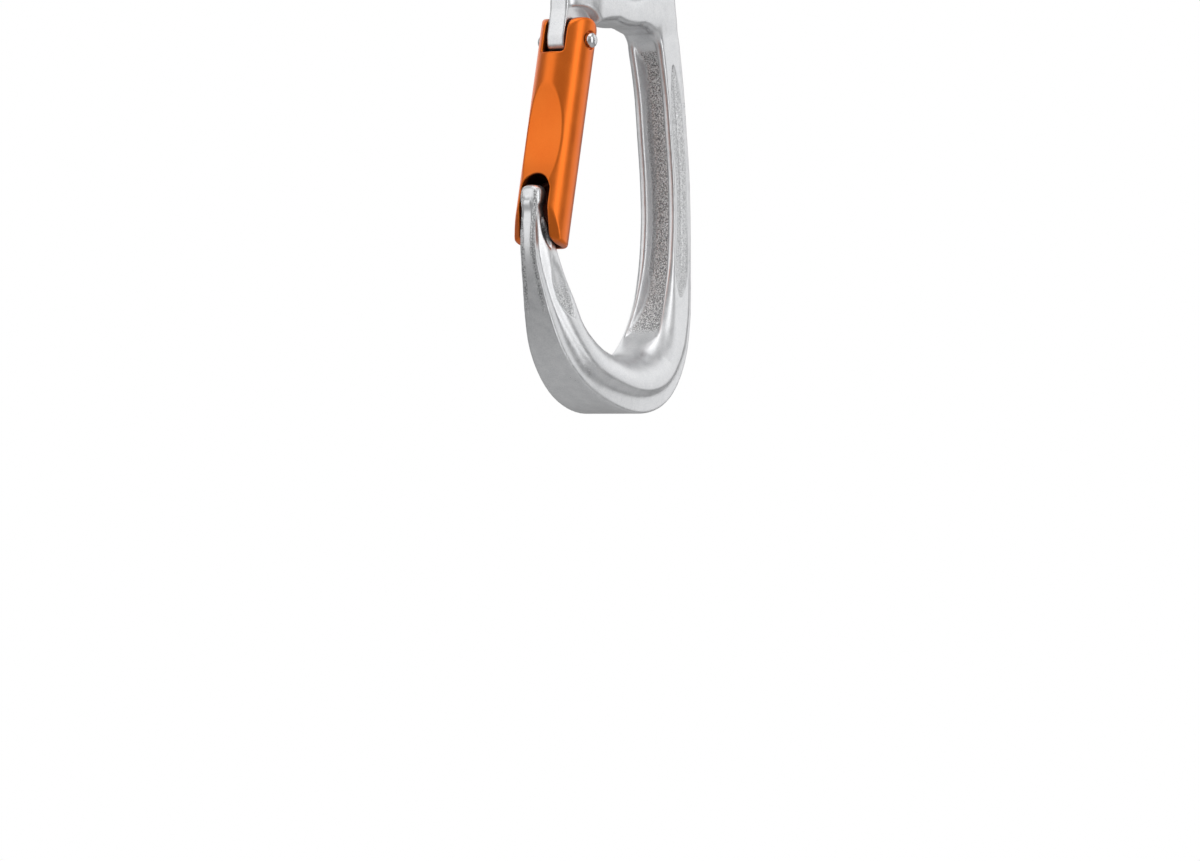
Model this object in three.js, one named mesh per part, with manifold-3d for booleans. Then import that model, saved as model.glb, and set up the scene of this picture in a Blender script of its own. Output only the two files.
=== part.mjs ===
// Climbing quickdraw: a bolt-end carabiner, a sewn webbing sling and a rope-end connector with a closed eye.
// It hangs as in use. Millimetres, +Z up, gates towards -X, spines towards +X, thickness along Y.
// The origin is the point inside the top bow of the bolt-end carabiner where a bolt hanger bears.
import * as THREE from "three";
import { mergeVertices } from "three/addons/utils/BufferGeometryUtils.js";
import Module from "manifold-3d";

const wasm = await Module();
wasm.setup();

// ---------- Driving dimensions ----------

const SLING_LENGTH = 120; // over both end loops
const WEBBING_WIDTH = 14;
const WEBBING_THICKNESS = 2.2;
const SEWN_GAP = 0.05; // between the webbing and what is sewn on it

const BOW_Z = -82.1; // inside of the bolt-end carabiner's bottom bow
const BOW_RADIUS = 15; // of that inside, about an axis along Y
const BOW_LEGS = 5.4; // from the middle to the inside of the loop's legs, beside the bow
const BOW_GAP = 0.3; // between the bow and the webbing's edges

const EYE_RADIUS = 10; // closed eye of the rope-end connector
const RING_RADIUS = 17.4; // outside of the metal round the eye
const BODY_THICKNESS = 11;
const BODY_EDGE = 0.7; // bevel all round it
const EYE_LEGS = 5.9; // the same as BOW_LEGS, beside the eye
const EYE_GAP = 0.35; // between the eye and the webbing's edges

const GATE_CLEARANCE = 0.5; // between a gate's slots and what they straddle
const RIVET_RADIUS = 1.3;
const RIVET_HOLE_RADIUS = 1.38;
const RIVET_HEAD_RADIUS = 1.65;
const RIVET_SEAT_RADIUS = 2; // of the recess round each head
const RIVET_SEAT_DEPTH = 0.75;
const RIVET_HEAD_SUNK = 0.65; // how far a head starts below the gate's round side
const RIVET_HEAD_RISE = 1.25; // how far it stands out of it
const PLUNGER_GAP = 0.3; // between a plunger's tip and the hinge lug's cam
const CAM_RISE = 1.4; // mm that a plunger goes in for each radian that its gate opens
const CAM_SWEEP = THREE.MathUtils.degToRad(42); // of the cam, a little more than a gate opens

const SPRING = { bore: 2.3, wire: 0.5, outside: 4.1, turns: 7, length: 8.6, gap: 0.35 };
const PLUNGER = { stem: 1.35, head: 2.05, headStart: 2.2, headLength: 1.4, tail: 5 };

const THROUGH = 20; // from the middle, for cuts that go right through a piece

// What differs between the two gates. Distances along a gate are from its rivet.
const ROPE_GATE = {
  radius: 6, // of the round bar that the gate is made from
  rivet: { x: -19.3, z: -21.1 },
  tilt: THREE.MathUtils.degToRad(14), // of the gate from vertical, its tip outwards
  heel: 4.8,
  tip: 45.5,
  tipRounding: 7, // of the tip's outer corner
  lugThickness: 4.4,
  lugRadius: 2.95, // of the cam that the plunger meets when the gate is shut
  lugOutline: [[-2.2, 9.8], [-3.1, 6.7], [-5, 1.4], [-5, -1.2], [-4.2, -2.4], [-2.8, -2.9],
    [3, -2.9], [4.4, -0.5], [6.2, 2.6], [9, 9]], // from the rivet, clear of the frame's body at its two ends
  hingeSlot: 4.1, // depth of the hinge slot below the rivet
  noseSlot: 31.2, // where the nose slot begins
  noseSlotWidth: 7.2,
  noseBack: [[-1.2, 0], [-1.2, 42], [-4.6, 47]], // [outwards, along] of the slot's back wall
  scoop: { at: 23.5, half: 12.3, depth: 2 }, // thumb flat on the outer side
  pocketRadius: 7.6, // in the frame's two sides, for the gate's fork
};
const BOLT_GATE = {
  radius: 5.4,
  rivet: { x: -15.4, z: 73.4 },
  tilt: THREE.MathUtils.degToRad(11.5),
  heel: 4.4,
  tip: 60.5,
  tipRounding: 6,
  lugThickness: 4.4,
  lugRadius: 2.85,
  lugOutline: [[-1.4, 8.2], [-3.4, 5], [-4.7, 1.5], [-4.6, -1.5], [-3.9, -2.4], [-2.6, -2.8],
    [2.8, -2.8], [4, -0.5], [4.6, 2], [4.9, 5]],
  hingeSlot: 4,
  noseSlot: 49.2,
  noseSlotWidth: 6.2,
  noseBack: [[-3, 0], [-3, 55], [-4.4, 61.5]],
  scoop: { at: 27, half: 13.5, depth: 1.7 },
  pocketRadius: 6.9,
};

// Stations along the middle of each frame's bar, from the nose round the basket and up the spine.
// depth lies in the plane of the frame and thick across it. face is the flat on the outside of the
// bend, rib the height of the rib behind the basket, round the share of the thickness that the inner
// side is rounded over, and channel and panel the depths of the forged recesses.
const stations = (rows) =>
  rows.map(([x, z, depth, thick, face, rib, round, channel, panel]) =>
    ({ x, z, depth, thick, face, rib, round, channel, panel }));

const ROPE_STATIONS = stations([
  [-33.1, -52.6, 1.6, 2.4, 1.4, 0.3, 0.4, 0.05, 0.02], // tip of the nose
  [-33.0, -53.5, 3.7, 4.3, 2.8, 0.3, 0.4, 0.05, 0.02],
  [-32.95, -55.0, 4.5, 4.8, 3.3, 0.3, 0.4, 0.05, 0.02], // bulb
  [-33.0, -56.4, 4.3, 4.8, 3.3, 0.3, 0.4, 0.05, 0.02],
  [-33.5, -57.7, 3.4, 4.4, 2.6, 0.3, 0.4, 0.05, 0.02], // neck
  [-33.5, -59.6, 3.8, 4.6, 2.3, 0.3, 0.4, 0.05, 0.02],
  [-32.8, -62.6, 5.7, 5.2, 2.1, 0.3, 0.45, 0.05, 0.1],
  [-31.7, -67.2, 7.2, 6.4, 2.0, 0.3, 0.5, 0.05, 0.4],
  [-29.5, -73.2, 8.5, 7.8, 2.8, 0.3, 0.55, 0.05, 0.6],
  [-26.9, -78.9, 9.9, 9.4, 4.0, 0.4, 0.65, 0.05, 0.4],
  [-23.4, -84.7, 11.3, 11.4, 5.4, 0.8, 0.8, 0.05, 0.05],
  [-17.6, -90.0, 12.1, 14.0, 6.6, 1.8, 0.9, 0.05, 0.02],
  [-9.6, -93.8, 12.3, 16.8, 8.4, 3.2, 0.93, 0.05, 0.02],
  [0, -95.25, 12.5, 18.0, 9.6, 3.9, 0.93, 0.05, 0.02], // bottom of the basket
  [9.0, -92.9, 12.6, 16.8, 8.6, 3.2, 0.93, 0.05, 0.02],
  [15.6, -86.8, 12.4, 14.0, 7.2, 1.8, 0.85, 0.3, 0.02],
  [19.2, -79.6, 11.0, 11.4, 6.4, 0.8, 0.6, 1.2, 0.05],
  [21.0, -71.6, 9.2, 9.8, 6.0, 0.4, 0.3, 2.2, 0.4],
  [21.8, -61.0, 8.0, 9.0, 5.6, 0.3, 0.16, 2.8, 0.55],
  [21.5, -50.0, 7.8, 9.0, 5.6, 0.3, 0.16, 3, 0.55],
  [20.2, -39.0, 7.8, 9.0, 5.6, 0.3, 0.16, 3, 0.55],
  [18.8, -29.0, 7.9, 9.0, 5.6, 0.3, 0.16, 2.9, 0.5],
  [17.5, -21.0, 8.3, 9.0, 5.6, 0.3, 0.16, 1.4, 0.05],
  [16.2, -15.0, 8.8, 8.4, 5.2, 0.3, 0.2, 0.05, 0.02], // inside the body
]);

// The bolt-end frame is set out basket down, and hung the other way up.
const BOLT_STATIONS = stations([
  [-26.0, 21.8, 1.6, 2.2, 1.2, 0.3, 0.4, 0.05, 0.02], // tip of the nose
  [-26.0, 20.9, 3.5, 4.0, 2.6, 0.3, 0.4, 0.05, 0.02],
  [-26.0, 19.5, 4.2, 4.5, 3.0, 0.3, 0.4, 0.05, 0.02], // bulb
  [-26.1, 18.2, 4.0, 4.5, 3.0, 0.3, 0.4, 0.05, 0.02],
  [-26.6, 17.0, 3.2, 4.3, 2.9, 0.3, 0.4, 0.05, 0.02], // neck
  [-26.6, 15.0, 3.6, 4.4, 3.0, 0.3, 0.4, 0.05, 0.02],
  [-26.0, 11.0, 5.2, 5.2, 3.4, 0.3, 0.5, 0.05, 0.02],
  [-24.4, 5.2, 7.0, 7.0, 4.2, 0.3, 0.6, 0.05, 0.02],
  [-20.6, 0.0, 8.4, 8.8, 5.0, 0.8, 0.8, 0.05, 0.02],
  [-14.0, -3.6, 9.3, 10.2, 5.8, 1.6, 0.9, 0.05, 0.02],
  [-5.0, -4.9, 9.6, 11.0, 6.4, 2.2, 0.93, 0.05, 0.02], // top of the basket
  [5.0, -4.8, 9.6, 11.0, 6.4, 2.2, 0.93, 0.05, 0.02],
  [13.8, -2.4, 9.3, 10.2, 5.8, 1.6, 0.85, 0.05, 0.02],
  [20.2, 4.0, 8.6, 9.2, 5.6, 0.6, 0.6, 0.6, 0.05],
  [22.8, 13.5, 7.8, 8.4, 5.4, 0.3, 0.3, 1.6, 0.4],
  [23.0, 26.0, 7.4, 8.2, 5.2, 0.3, 0.16, 2.2, 0.5],
  [22.0, 40.0, 7.2, 8.2, 5.2, 0.3, 0.16, 2.2, 0.5],
  [20.8, 54.0, 7.2, 8.2, 5.2, 0.3, 0.16, 2.2, 0.5],
  [19.3, 66.0, 7.4, 8.4, 5.4, 0.3, 0.3, 1.2, 0.3],
  [16.8, 76.0, 7.8, 8.8, 5.6, 0.6, 0.6, 0.05, 0.02],
  [11.4, 83.3, 8.2, 9.0, 5.6, 1.0, 0.85, 0.05, 0.02],
  [4.2, 86.4, 8.4, 9.0, 5.6, 1.2, 0.9, 0.05, 0.02],
  [-4.2, 86.4, 8.4, 9.0, 5.6, 1.2, 0.9, 0.05, 0.02], // bottom bow, which holds the sling
  [-11.0, 82.7, 8.4, 8.8, 5.6, 0.6, 0.7, 0.05, 0.02],
  [-14.6, 77.0, 8.0, 8.4, 5.4, 0.3, 0.4, 0.05, 0.02], // the hinge lug grows from here
]);

// ---------- Solids ----------

// A geometry as a manifold-3d solid.
function solid(geometry) {
  const bare = geometry.index ? geometry.toNonIndexed() : geometry.clone();
  bare.deleteAttribute("normal");
  bare.deleteAttribute("uv");
  const merged = mergeVertices(bare, 1e-4);
  return new wasm.Manifold(new wasm.Mesh({
    numProp: 3,
    vertProperties: merged.attributes.position.array,
    triVerts: new Uint32Array(merged.index.array),
  }));
}

// A manifold-3d solid as a geometry.
function geometryOf(manifold) {
  const { vertProperties, triVerts } = manifold.getMesh();
  const geometry = new THREE.BufferGeometry();
  geometry.setAttribute("position", new THREE.BufferAttribute(vertProperties, 3));
  geometry.setIndex(new THREE.BufferAttribute(triVerts, 1));
  geometry.computeVertexNormals();
  return geometry;
}

// A cylinder along Y, between two values of y.
function cylinderAlongY(radius, x, z, y0, y1, segments = 40) {
  const geometry = new THREE.CylinderGeometry(radius, radius, y1 - y0, segments);
  return solid(geometry.translate(x, (y0 + y1) / 2, z));
}

function box(x0, x1, y0, y1, z0, z1) {
  const geometry = new THREE.BoxGeometry(x1 - x0, y1 - y0, z1 - z0);
  return solid(geometry.translate((x0 + x1) / 2, (y0 + y1) / 2, (z0 + z1) / 2));
}

// A plate of an outline drawn in X and Z, of a thickness centred on y = 0, with rounded edges.
function plate(shape, thickness, edge = 0, curveSegments = 16) {
  const geometry = new THREE.ExtrudeGeometry(shape, {
    depth: thickness - 2 * edge,
    bevelEnabled: edge > 0,
    bevelThickness: edge,
    bevelSize: edge,
    bevelOffset: -edge,
    bevelSegments: 2,
    curveSegments,
  });
  geometry.translate(0, 0, edge - thickness / 2);
  return solid(geometry.rotateX(Math.PI / 2));
}

// A closed skin over rings of points, with a flat cap at each end.
function loft(rings) {
  const count = rings[0].length;
  const positions = rings.flat().flatMap((p) => [p.x, p.y, p.z]);
  const index = [];
  for (let r = 0; r + 1 < rings.length; r++) {
    for (let i = 0; i < count; i++) {
      const a = r * count + i;
      const b = r * count + ((i + 1) % count);
      index.push(a, b, a + count, b, b + count, a + count);
    }
  }
  const capEnd = (first, flip) => {
    const ring = rings[first / count];
    const middle = ring.reduce((sum, p) => sum.add(p), new THREE.Vector3()).divideScalar(count);
    const centre = positions.length / 3;
    positions.push(middle.x, middle.y, middle.z);
    for (let i = 0; i < count; i++) {
      const a = first + i;
      const b = first + ((i + 1) % count);
      index.push(centre, ...(flip ? [b, a] : [a, b]));
    }
  };
  capEnd(0, true);
  capEnd((rings.length - 1) * count, false);
  const geometry = new THREE.BufferGeometry();
  geometry.setAttribute("position", new THREE.Float32BufferAttribute(positions, 3));
  geometry.setIndex(index);
  return solid(geometry);
}

// ---------- Frames ----------

// One half of a bar's section as [towards the inside of the bend, across] points, from the outside in.
function halfSection(s) {
  const inner = s.depth / 2;
  const half = s.thick / 2;
  const face = Math.min(s.face / 2, half - 0.2);
  const crease = s.rib - inner;
  const sideStart = crease + Math.max(0.3, 0.28 * (inner * 2 - s.rib));
  const roundAcross = s.round * half;
  const roundIn = Math.min(roundAcross, 0.62 * (inner - sideStart));
  const sideEnd = inner - roundIn;
  const panelEdge = 0.18 * (sideEnd - sideStart);
  const channelHalf = 0.82 * (half - roundAcross);
  const points = [
    [-inner, face],
    [crease, face + 0.12 * s.rib],
    [crease + 0.35 * (sideStart - crease), face + 0.72 * (half - face)],
    [sideStart, half],
    [sideStart + panelEdge, half],
    [sideStart + 1.6 * panelEdge, half - s.panel],
    [sideEnd - 1.6 * panelEdge, half - s.panel],
    [sideEnd - panelEdge, half],
  ];
  const arcSteps = 4;
  for (let i = 0; i <= arcSteps; i++) {
    const angle = (i / arcSteps) * (Math.PI / 2);
    points.push([sideEnd + roundIn * Math.sin(angle), half - roundAcross * (1 - Math.cos(angle))]);
  }
  points.push([inner, channelHalf]);
  points.push([inner - s.channel, 0.72 * channelHalf]);
  return points;
}

// A frame's bar, lofted through its stations.
function bar(list, stepsPerStation = 3) {
  const track = (keys) => new THREE.CatmullRomCurve3(
    list.map((s) => new THREE.Vector3(...keys.map((key) => (key ? s[key] : 0)))), false, "centripetal");
  const path = track(["x", null, "z"]);
  const size = track(["depth", "thick", "face"]);
  const shape = track(["rib", "round", "channel"]);
  const panels = track(["panel", null, null]);
  const count = (list.length - 1) * stepsPerStation;
  const rings = [];
  for (let i = 0; i <= count; i++) {
    const t = i / count;
    const at = path.getPoint(t);
    const along = path.getTangent(t);
    const inwards = new THREE.Vector3(-along.z, 0, along.x).normalize();
    const [depth, thick, face] = size.getPoint(t).toArray();
    const [rib, round, channel] = shape.getPoint(t).toArray();
    const panel = Math.max(0.02, panels.getPoint(t).x);
    const half = halfSection({ depth, thick, face, rib, round, channel: Math.max(0.05, channel), panel });
    const place = ([inside, across]) => at.clone().addScaledVector(inwards, inside).setY(across);
    const far = half.map(place);
    const near = half.map(([inside, across]) => place([inside, -across])).reverse();
    rings.push([...far, ...near]);
  }
  return loft(rings);
}

// The solid top of the rope-end connector: a ring round the eye and an arch over the rope opening.
function eyeBody() {
  const shape = new THREE.Shape();
  shape.moveTo(20.8, -21.5);
  shape.lineTo(20.5, -15.5);
  shape.lineTo(19.4, -9);
  shape.absarc(0, 0, RING_RADIUS, 0.15, Math.PI + 0.05, false);
  shape.quadraticCurveTo(-21.6, -6.4, -22.3, -12.5);
  shape.lineTo(-22.2, -14.5);
  shape.lineTo(-14.6, -19.6);
  shape.lineTo(-12.4, -17.9);
  shape.bezierCurveTo(-9.6, -15.6, 4.5, -15.2, 8.4, -16.5);
  shape.quadraticCurveTo(12.6, -18.0, 13.4, -21.5);
  shape.closePath();
  const eye = new THREE.Path();
  eye.absarc(0, 0, EYE_RADIUS, 0, 2 * Math.PI, true);
  shape.holes.push(eye);
  return plate(shape, BODY_THICKNESS, BODY_EDGE, 20);
}

function lug({ rivet, lugThickness, lugOutline }) {
  const points = lugOutline.map(([x, z]) => new THREE.Vector2(rivet.x + x, rivet.z + z));
  return plate(new THREE.Shape(points), lugThickness);
}

// The part of a hinge lug that its gate's plunger follows: it grows with the angle that the gate opens.
function cam(gate) {
  const shape = new THREE.Shape();
  shape.moveTo(gate.rivet.x, gate.rivet.z);
  const steps = 14;
  for (let i = -2; i <= steps; i++) {
    const opened = (i / steps) * CAM_SWEEP;
    const radius = gate.lugRadius + CAM_RISE * Math.max(0, opened);
    const angle = opened - gate.tilt;
    shape.lineTo(gate.rivet.x + radius * Math.sin(angle), gate.rivet.z - radius * Math.cos(angle));
  }
  shape.lineTo(gate.rivet.x + 4, gate.rivet.z - 0.5);
  shape.closePath();
  return plate(shape, gate.lugThickness);
}

// Takes the two side pockets and the rivet's hole out of a frame.
function cutHinge(frame, gate) {
  const { rivet, pocketRadius, lugThickness } = gate;
  const side = lugThickness / 2;
  return frame
    .subtract(cylinderAlongY(pocketRadius, rivet.x, rivet.z, side, THROUGH))
    .subtract(cylinderAlongY(pocketRadius, rivet.x, rivet.z, -THROUGH, -side))
    .subtract(cylinderAlongY(RIVET_HOLE_RADIUS, rivet.x, rivet.z, -THROUGH, THROUGH, 24));
}

function ropeFrame() {
  return cutHinge(bar(ROPE_STATIONS).add(eyeBody()).add(lug(ROPE_GATE)).add(cam(ROPE_GATE)), ROPE_GATE);
}

function boltFrame() {
  return cutHinge(bar(BOLT_STATIONS).add(lug(BOLT_GATE)).add(cam(BOLT_GATE)), BOLT_GATE);
}

// ---------- Gates ----------
// Each gate is set out with its rivet at the origin, its tip down and its outer side towards -X.

// A gate's side view: the scooped outer side, the rounded tip and heel.
function gateProfile({ radius, heel, tip, tipRounding, scoop }) {
  const shape = new THREE.Shape();
  const inner = radius + 1;
  const scoopRadius = (scoop.half ** 2 + scoop.depth ** 2) / (2 * scoop.depth);
  const scoopX = scoop.depth - radius - scoopRadius;
  const halfAngle = Math.asin(scoop.half / scoopRadius);
  shape.moveTo(inner - 3.2, -tip);
  shape.quadraticCurveTo(radius, -tip, inner, 2.6 - tip);
  shape.lineTo(inner, heel - 4.2);
  shape.quadraticCurveTo(radius - 0.6, heel - 0.7, 0.8, heel);
  shape.quadraticCurveTo(-radius + 1.4, heel, -radius, heel - 2.4);
  shape.lineTo(-radius, -scoop.at + scoop.half);
  shape.absarc(scoopX, -scoop.at, scoopRadius, halfAngle, -halfAngle, true);
  shape.lineTo(-radius, tipRounding - tip);
  shape.absarc(tipRounding - radius, tipRounding - tip, tipRounding, Math.PI, 1.5 * Math.PI, false);
  shape.closePath();
  return shape;
}

// A round bar along Z.
function rod(radius, z0, z1, segments = 40) {
  const geometry = new THREE.CylinderGeometry(radius, radius, z1 - z0, segments);
  return solid(geometry.rotateX(Math.PI / 2).translate(0, 0, (z0 + z1) / 2));
}

// The slot that takes the nose: round at its upper end, with a back wall that follows the nose.
function noseSlot({ noseSlot: start, noseSlotWidth, noseBack }) {
  const half = noseSlotWidth / 2;
  const bottom = -noseBack.at(-1)[1];
  const side = new THREE.Shape();
  side.moveTo(-THROUGH, -start + half + 5);
  noseBack.forEach(([outwards, along]) => side.lineTo(-outwards, -along));
  side.lineTo(-THROUGH, bottom);
  side.closePath();
  const end = new THREE.Shape();
  end.moveTo(-half, bottom);
  end.lineTo(half, bottom);
  end.lineTo(half, -start - half);
  end.absarc(0, -start - half, half, 0, Math.PI, false);
  end.closePath();
  const run = new THREE.ExtrudeGeometry(end, { depth: 2 * THROUGH, bevelEnabled: false, curveSegments: 16 });
  // The outline is drawn across and along the gate, and runs in X.
  run.applyMatrix4(new THREE.Matrix4().makeBasis(
    new THREE.Vector3(0, 1, 0), new THREE.Vector3(0, 0, 1), new THREE.Vector3(1, 0, 0)));
  return plate(side, noseSlotWidth + 1).intersect(solid(run.translate(-THROUGH, 0, 0)));
}

function gate(spec) {
  const { radius, heel, tip, hingeSlot, lugThickness } = spec;
  const slotHalf = lugThickness / 2 + GATE_CLEARANCE;
  const boreEnd = hingeSlot + PLUNGER.headStart + PLUNGER.headLength + SPRING.length + 1;
  const seat = radius - RIVET_SEAT_DEPTH;
  return rod(radius, -tip, heel + 1)
    .intersect(plate(gateProfile(spec), 2 * radius + 2, 0, 20))
    .subtract(box(-THROUGH, THROUGH, -slotHalf, slotHalf, -hingeSlot, THROUGH))
    .subtract(noseSlot(spec))
    .subtract(rod(SPRING.bore, -boreEnd, 0, 24))
    .subtract(cylinderAlongY(RIVET_HOLE_RADIUS, 0, 0, -THROUGH, THROUGH, 24))
    .subtract(cylinderAlongY(RIVET_SEAT_RADIUS, 0, 0, seat, THROUGH, 28))
    .subtract(cylinderAlongY(RIVET_SEAT_RADIUS, 0, 0, -THROUGH, -seat, 28));
}

// The rivet, with a domed head on each side of the gate's fork.
function rivet({ radius }) {
  const under = radius - RIVET_HEAD_SUNK;
  const top = radius + RIVET_HEAD_RISE;
  const head = RIVET_HEAD_RADIUS;
  const dome = [
    [head, under], [head, top - 1.1], [0.87 * head, top - 0.55], [0.55 * head, top - 0.15], [0, top],
  ];
  const profile = [
    ...dome.map(([r, y]) => new THREE.Vector2(r, -y)).reverse(),
    new THREE.Vector2(RIVET_RADIUS, -under),
    new THREE.Vector2(RIVET_RADIUS, under),
    ...dome.map(([r, y]) => new THREE.Vector2(r, y)),
  ];
  return solid(new THREE.LatheGeometry(profile, 24));
}

// The plunger in the gate's bore: its round tip rides on the lug's cam and its head takes the spring.
function plunger({ lugRadius, hingeSlot }) {
  const tipZ = -(lugRadius + PLUNGER_GAP);
  const { stem, head, headStart, headLength, tail } = PLUNGER;
  const headZ = -(hingeSlot + headStart);
  const profile = [
    [0, headZ - headLength - tail], [0.7, headZ - headLength - tail], [0.9, headZ - headLength],
    [head, headZ - headLength], [head, headZ], [stem, headZ],
    [stem, tipZ - 1.3], [1.15, tipZ - 0.6], [0.65, tipZ - 0.15], [0, tipZ],
  ].map(([r, z]) => new THREE.Vector2(r, z));
  return solid(new THREE.LatheGeometry(profile, 16).rotateX(Math.PI / 2));
}

class Helix extends THREE.Curve {
  constructor(radius, z0, z1, turns) {
    super();
    Object.assign(this, { radius, z0, z1, turns });
  }

  getPoint(t, target = new THREE.Vector3()) {
    const angle = 2 * Math.PI * this.turns * t;
    const z = this.z0 + (this.z1 - this.z0) * t;
    return target.set(this.radius * Math.cos(angle), this.radius * Math.sin(angle), z);
  }
}

// The coil spring behind the plunger's head.
function spring({ hingeSlot }) {
  const { wire, outside, turns, length, gap } = SPRING;
  const start = -(hingeSlot + PLUNGER.headStart + PLUNGER.headLength + gap);
  const section = new THREE.Shape();
  section.absarc(0, 0, wire / 2, 0, 2 * Math.PI, false);
  const path = new Helix((outside - wire) / 2, start, start - length, turns);
  return solid(new THREE.ExtrudeGeometry(section, {
    steps: turns * 11,
    curveSegments: 6,
    bevelEnabled: false,
    extrudePath: path,
  }));
}

// ---------- Sling ----------

// Both end loops and the sewn middle, drawn in Y and Z and running across the webbing's width.
function webbing(top) {
  const half = WEBBING_THICKNESS; // the sewn middle is two layers
  const upper = BOW_LEGS + WEBBING_THICKNESS;
  const lower = EYE_LEGS + WEBBING_THICKNESS;
  const bottom = top - SLING_LENGTH;
  const corner = 2.6;
  const loopEnd = 15; // how far the legs run straight from an end
  const pinch = 22;
  const sewn = 28; // where the two layers meet
  const insideEnd = 25.5; // how far a loop's inside runs to a point between the layers
  const shape = new THREE.Shape();
  shape.moveTo(upper - corner, top);
  shape.lineTo(corner - upper, top);
  shape.quadraticCurveTo(-upper, top, -upper, top - corner);
  shape.lineTo(-upper, top - loopEnd);
  shape.bezierCurveTo(-upper, top - pinch, -half, top - pinch, -half, top - sewn);
  shape.lineTo(-half, bottom + sewn);
  shape.bezierCurveTo(-half, bottom + pinch, -lower, bottom + pinch, -lower, bottom + loopEnd);
  shape.lineTo(-lower, bottom + corner);
  shape.quadraticCurveTo(-lower, bottom, corner - lower, bottom);
  shape.lineTo(lower - corner, bottom);
  shape.quadraticCurveTo(lower, bottom, lower, bottom + corner);
  shape.lineTo(lower, bottom + loopEnd);
  shape.bezierCurveTo(lower, bottom + pinch, half, bottom + pinch, half, bottom + sewn);
  shape.lineTo(half, top - sewn);
  shape.bezierCurveTo(half, top - pinch, upper, top - pinch, upper, top - loopEnd);
  shape.lineTo(upper, top - corner);
  shape.quadraticCurveTo(upper, top, upper - corner, top);
  // A loop's inside, from the webbing's end inwards: dir is -1 below the upper end and 1 above the lower.
  const loop = (end, dir, legs) => {
    const path = new THREE.Path();
    const start = end + dir * WEBBING_THICKNESS;
    const side = dir * legs;
    path.moveTo(side, start);
    path.lineTo(-side, start);
    path.lineTo(-side, end + dir * loopEnd);
    path.quadraticCurveTo(-0.88 * side, end + dir * 20, 0, end + dir * insideEnd);
    path.quadraticCurveTo(0.88 * side, end + dir * 20, side, end + dir * loopEnd);
    path.closePath();
    return path;
  };
  shape.holes.push(loop(top, -1, BOW_LEGS), loop(bottom, 1, EYE_LEGS));
  const geometry = new THREE.ExtrudeGeometry(shape, {
    depth: WEBBING_WIDTH, bevelEnabled: false, curveSegments: 8 });
  geometry.applyMatrix4(new THREE.Matrix4().makeBasis(
    new THREE.Vector3(0, 1, 0), new THREE.Vector3(0, 0, 1), new THREE.Vector3(1, 0, 0)));
  return solid(geometry.translate(-WEBBING_WIDTH / 2, 0, 0));
}

// A flat piece sewn on one face of the sling's middle.
function sewnOn(width, height, thickness, z, side) {
  const y = side * (WEBBING_THICKNESS + SEWN_GAP + thickness / 2);
  return box(-width / 2, width / 2, y - thickness / 2, y + thickness / 2, z - height / 2, z + height / 2);
}

// ---------- Assembly ----------

const aluminium = () => new THREE.MeshStandardMaterial({ color: 0xb9bbbd, roughness: 0.35, metalness: 1 });
const anodised = () => new THREE.MeshStandardMaterial({ color: 0xe8731e, roughness: 0.32, metalness: 0.9 });
const steel = () => new THREE.MeshStandardMaterial({ color: 0xa9adb2, roughness: 0.25, metalness: 1 });
const polyamide = () => new THREE.MeshStandardMaterial({ color: 0x2b2e33, roughness: 0.85, metalness: 0 });
const thread = () => new THREE.MeshStandardMaterial({ color: 0xe8731e, roughness: 0.8, metalness: 0 });
const tag = () => new THREE.MeshStandardMaterial({ color: 0xdcdcd8, roughness: 0.8, metalness: 0 });

function named(name, manifold, material) {
  const mesh = new THREE.Mesh(geometryOf(manifold), material);
  mesh.name = name;
  return mesh;
}

// A gate with its rivet, plunger and spring, hinged on a frame.
function gateGroup(prefix, spec) {
  const group = new THREE.Group();
  group.position.set(spec.rivet.x, 0, spec.rivet.z);
  group.rotation.y = spec.tilt;
  group.add(
    named(`${prefix}_gate`, gate(spec), anodised()),
    named(`${prefix}_gate_rivet`, rivet(spec), steel()),
    named(`${prefix}_gate_plunger`, plunger(spec), steel()),
    named(`${prefix}_gate_spring`, spring(spec), steel()),
  );
  return group;
}

const quickdraw = new THREE.Group();

const boltEnd = new THREE.Group();
boltEnd.rotation.x = Math.PI;
boltEnd.add(named("bolt_frame", boltFrame(), aluminium()), gateGroup("bolt", BOLT_GATE));

// The flat webbing clears the bow where the bow rises at the webbing's edges.
const bowRise = BOW_RADIUS - Math.sqrt(BOW_RADIUS ** 2 - (WEBBING_WIDTH / 2) ** 2);
const slingTop = BOW_Z + bowRise + BOW_GAP + WEBBING_THICKNESS;
const slingBottom = slingTop - SLING_LENGTH;
const slingMiddle = (slingTop + slingBottom) / 2;
const tackOffset = 35; // of each bartack's middle from the sling's end
const sling = new THREE.Group();
sling.add(
  named("sling_webbing", webbing(slingTop), polyamide()),
  named("sling_label", sewnOn(11, 22, 0.5, slingMiddle, -1), tag()),
);
for (const [end, z] of [["upper", slingTop - tackOffset], ["lower", slingBottom + tackOffset]]) {
  for (const [face, side] of [["front", -1], ["back", 1]]) {
    sling.add(named(`${end}_bartack_${face}`, sewnOn(10, 11, 0.6, z, side), thread()));
  }
}

// The connector's eye hangs from the sling's lower loop, which lies flat across the top of the eye.
const eyeFit = Math.sqrt(EYE_RADIUS ** 2 - (WEBBING_WIDTH / 2) ** 2) - EYE_GAP;
const ropeEnd = new THREE.Group();
ropeEnd.position.z = slingBottom + WEBBING_THICKNESS - eyeFit;
ropeEnd.add(named("rope_frame", ropeFrame(), aluminium()), gateGroup("rope", ROPE_GATE));

quickdraw.add(boltEnd, sling, ropeEnd);

export default quickdraw;
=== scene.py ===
"""Looks of a climbing quickdraw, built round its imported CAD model.

The two forged frames and the two gates are sampled from distance fields, the sling is woven and sewn
in mesh code, and every surface has a node material. Lengths in the helpers are millimetres; meshes
are made in metres, in the CAD model's own axes.
"""
import math

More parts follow.
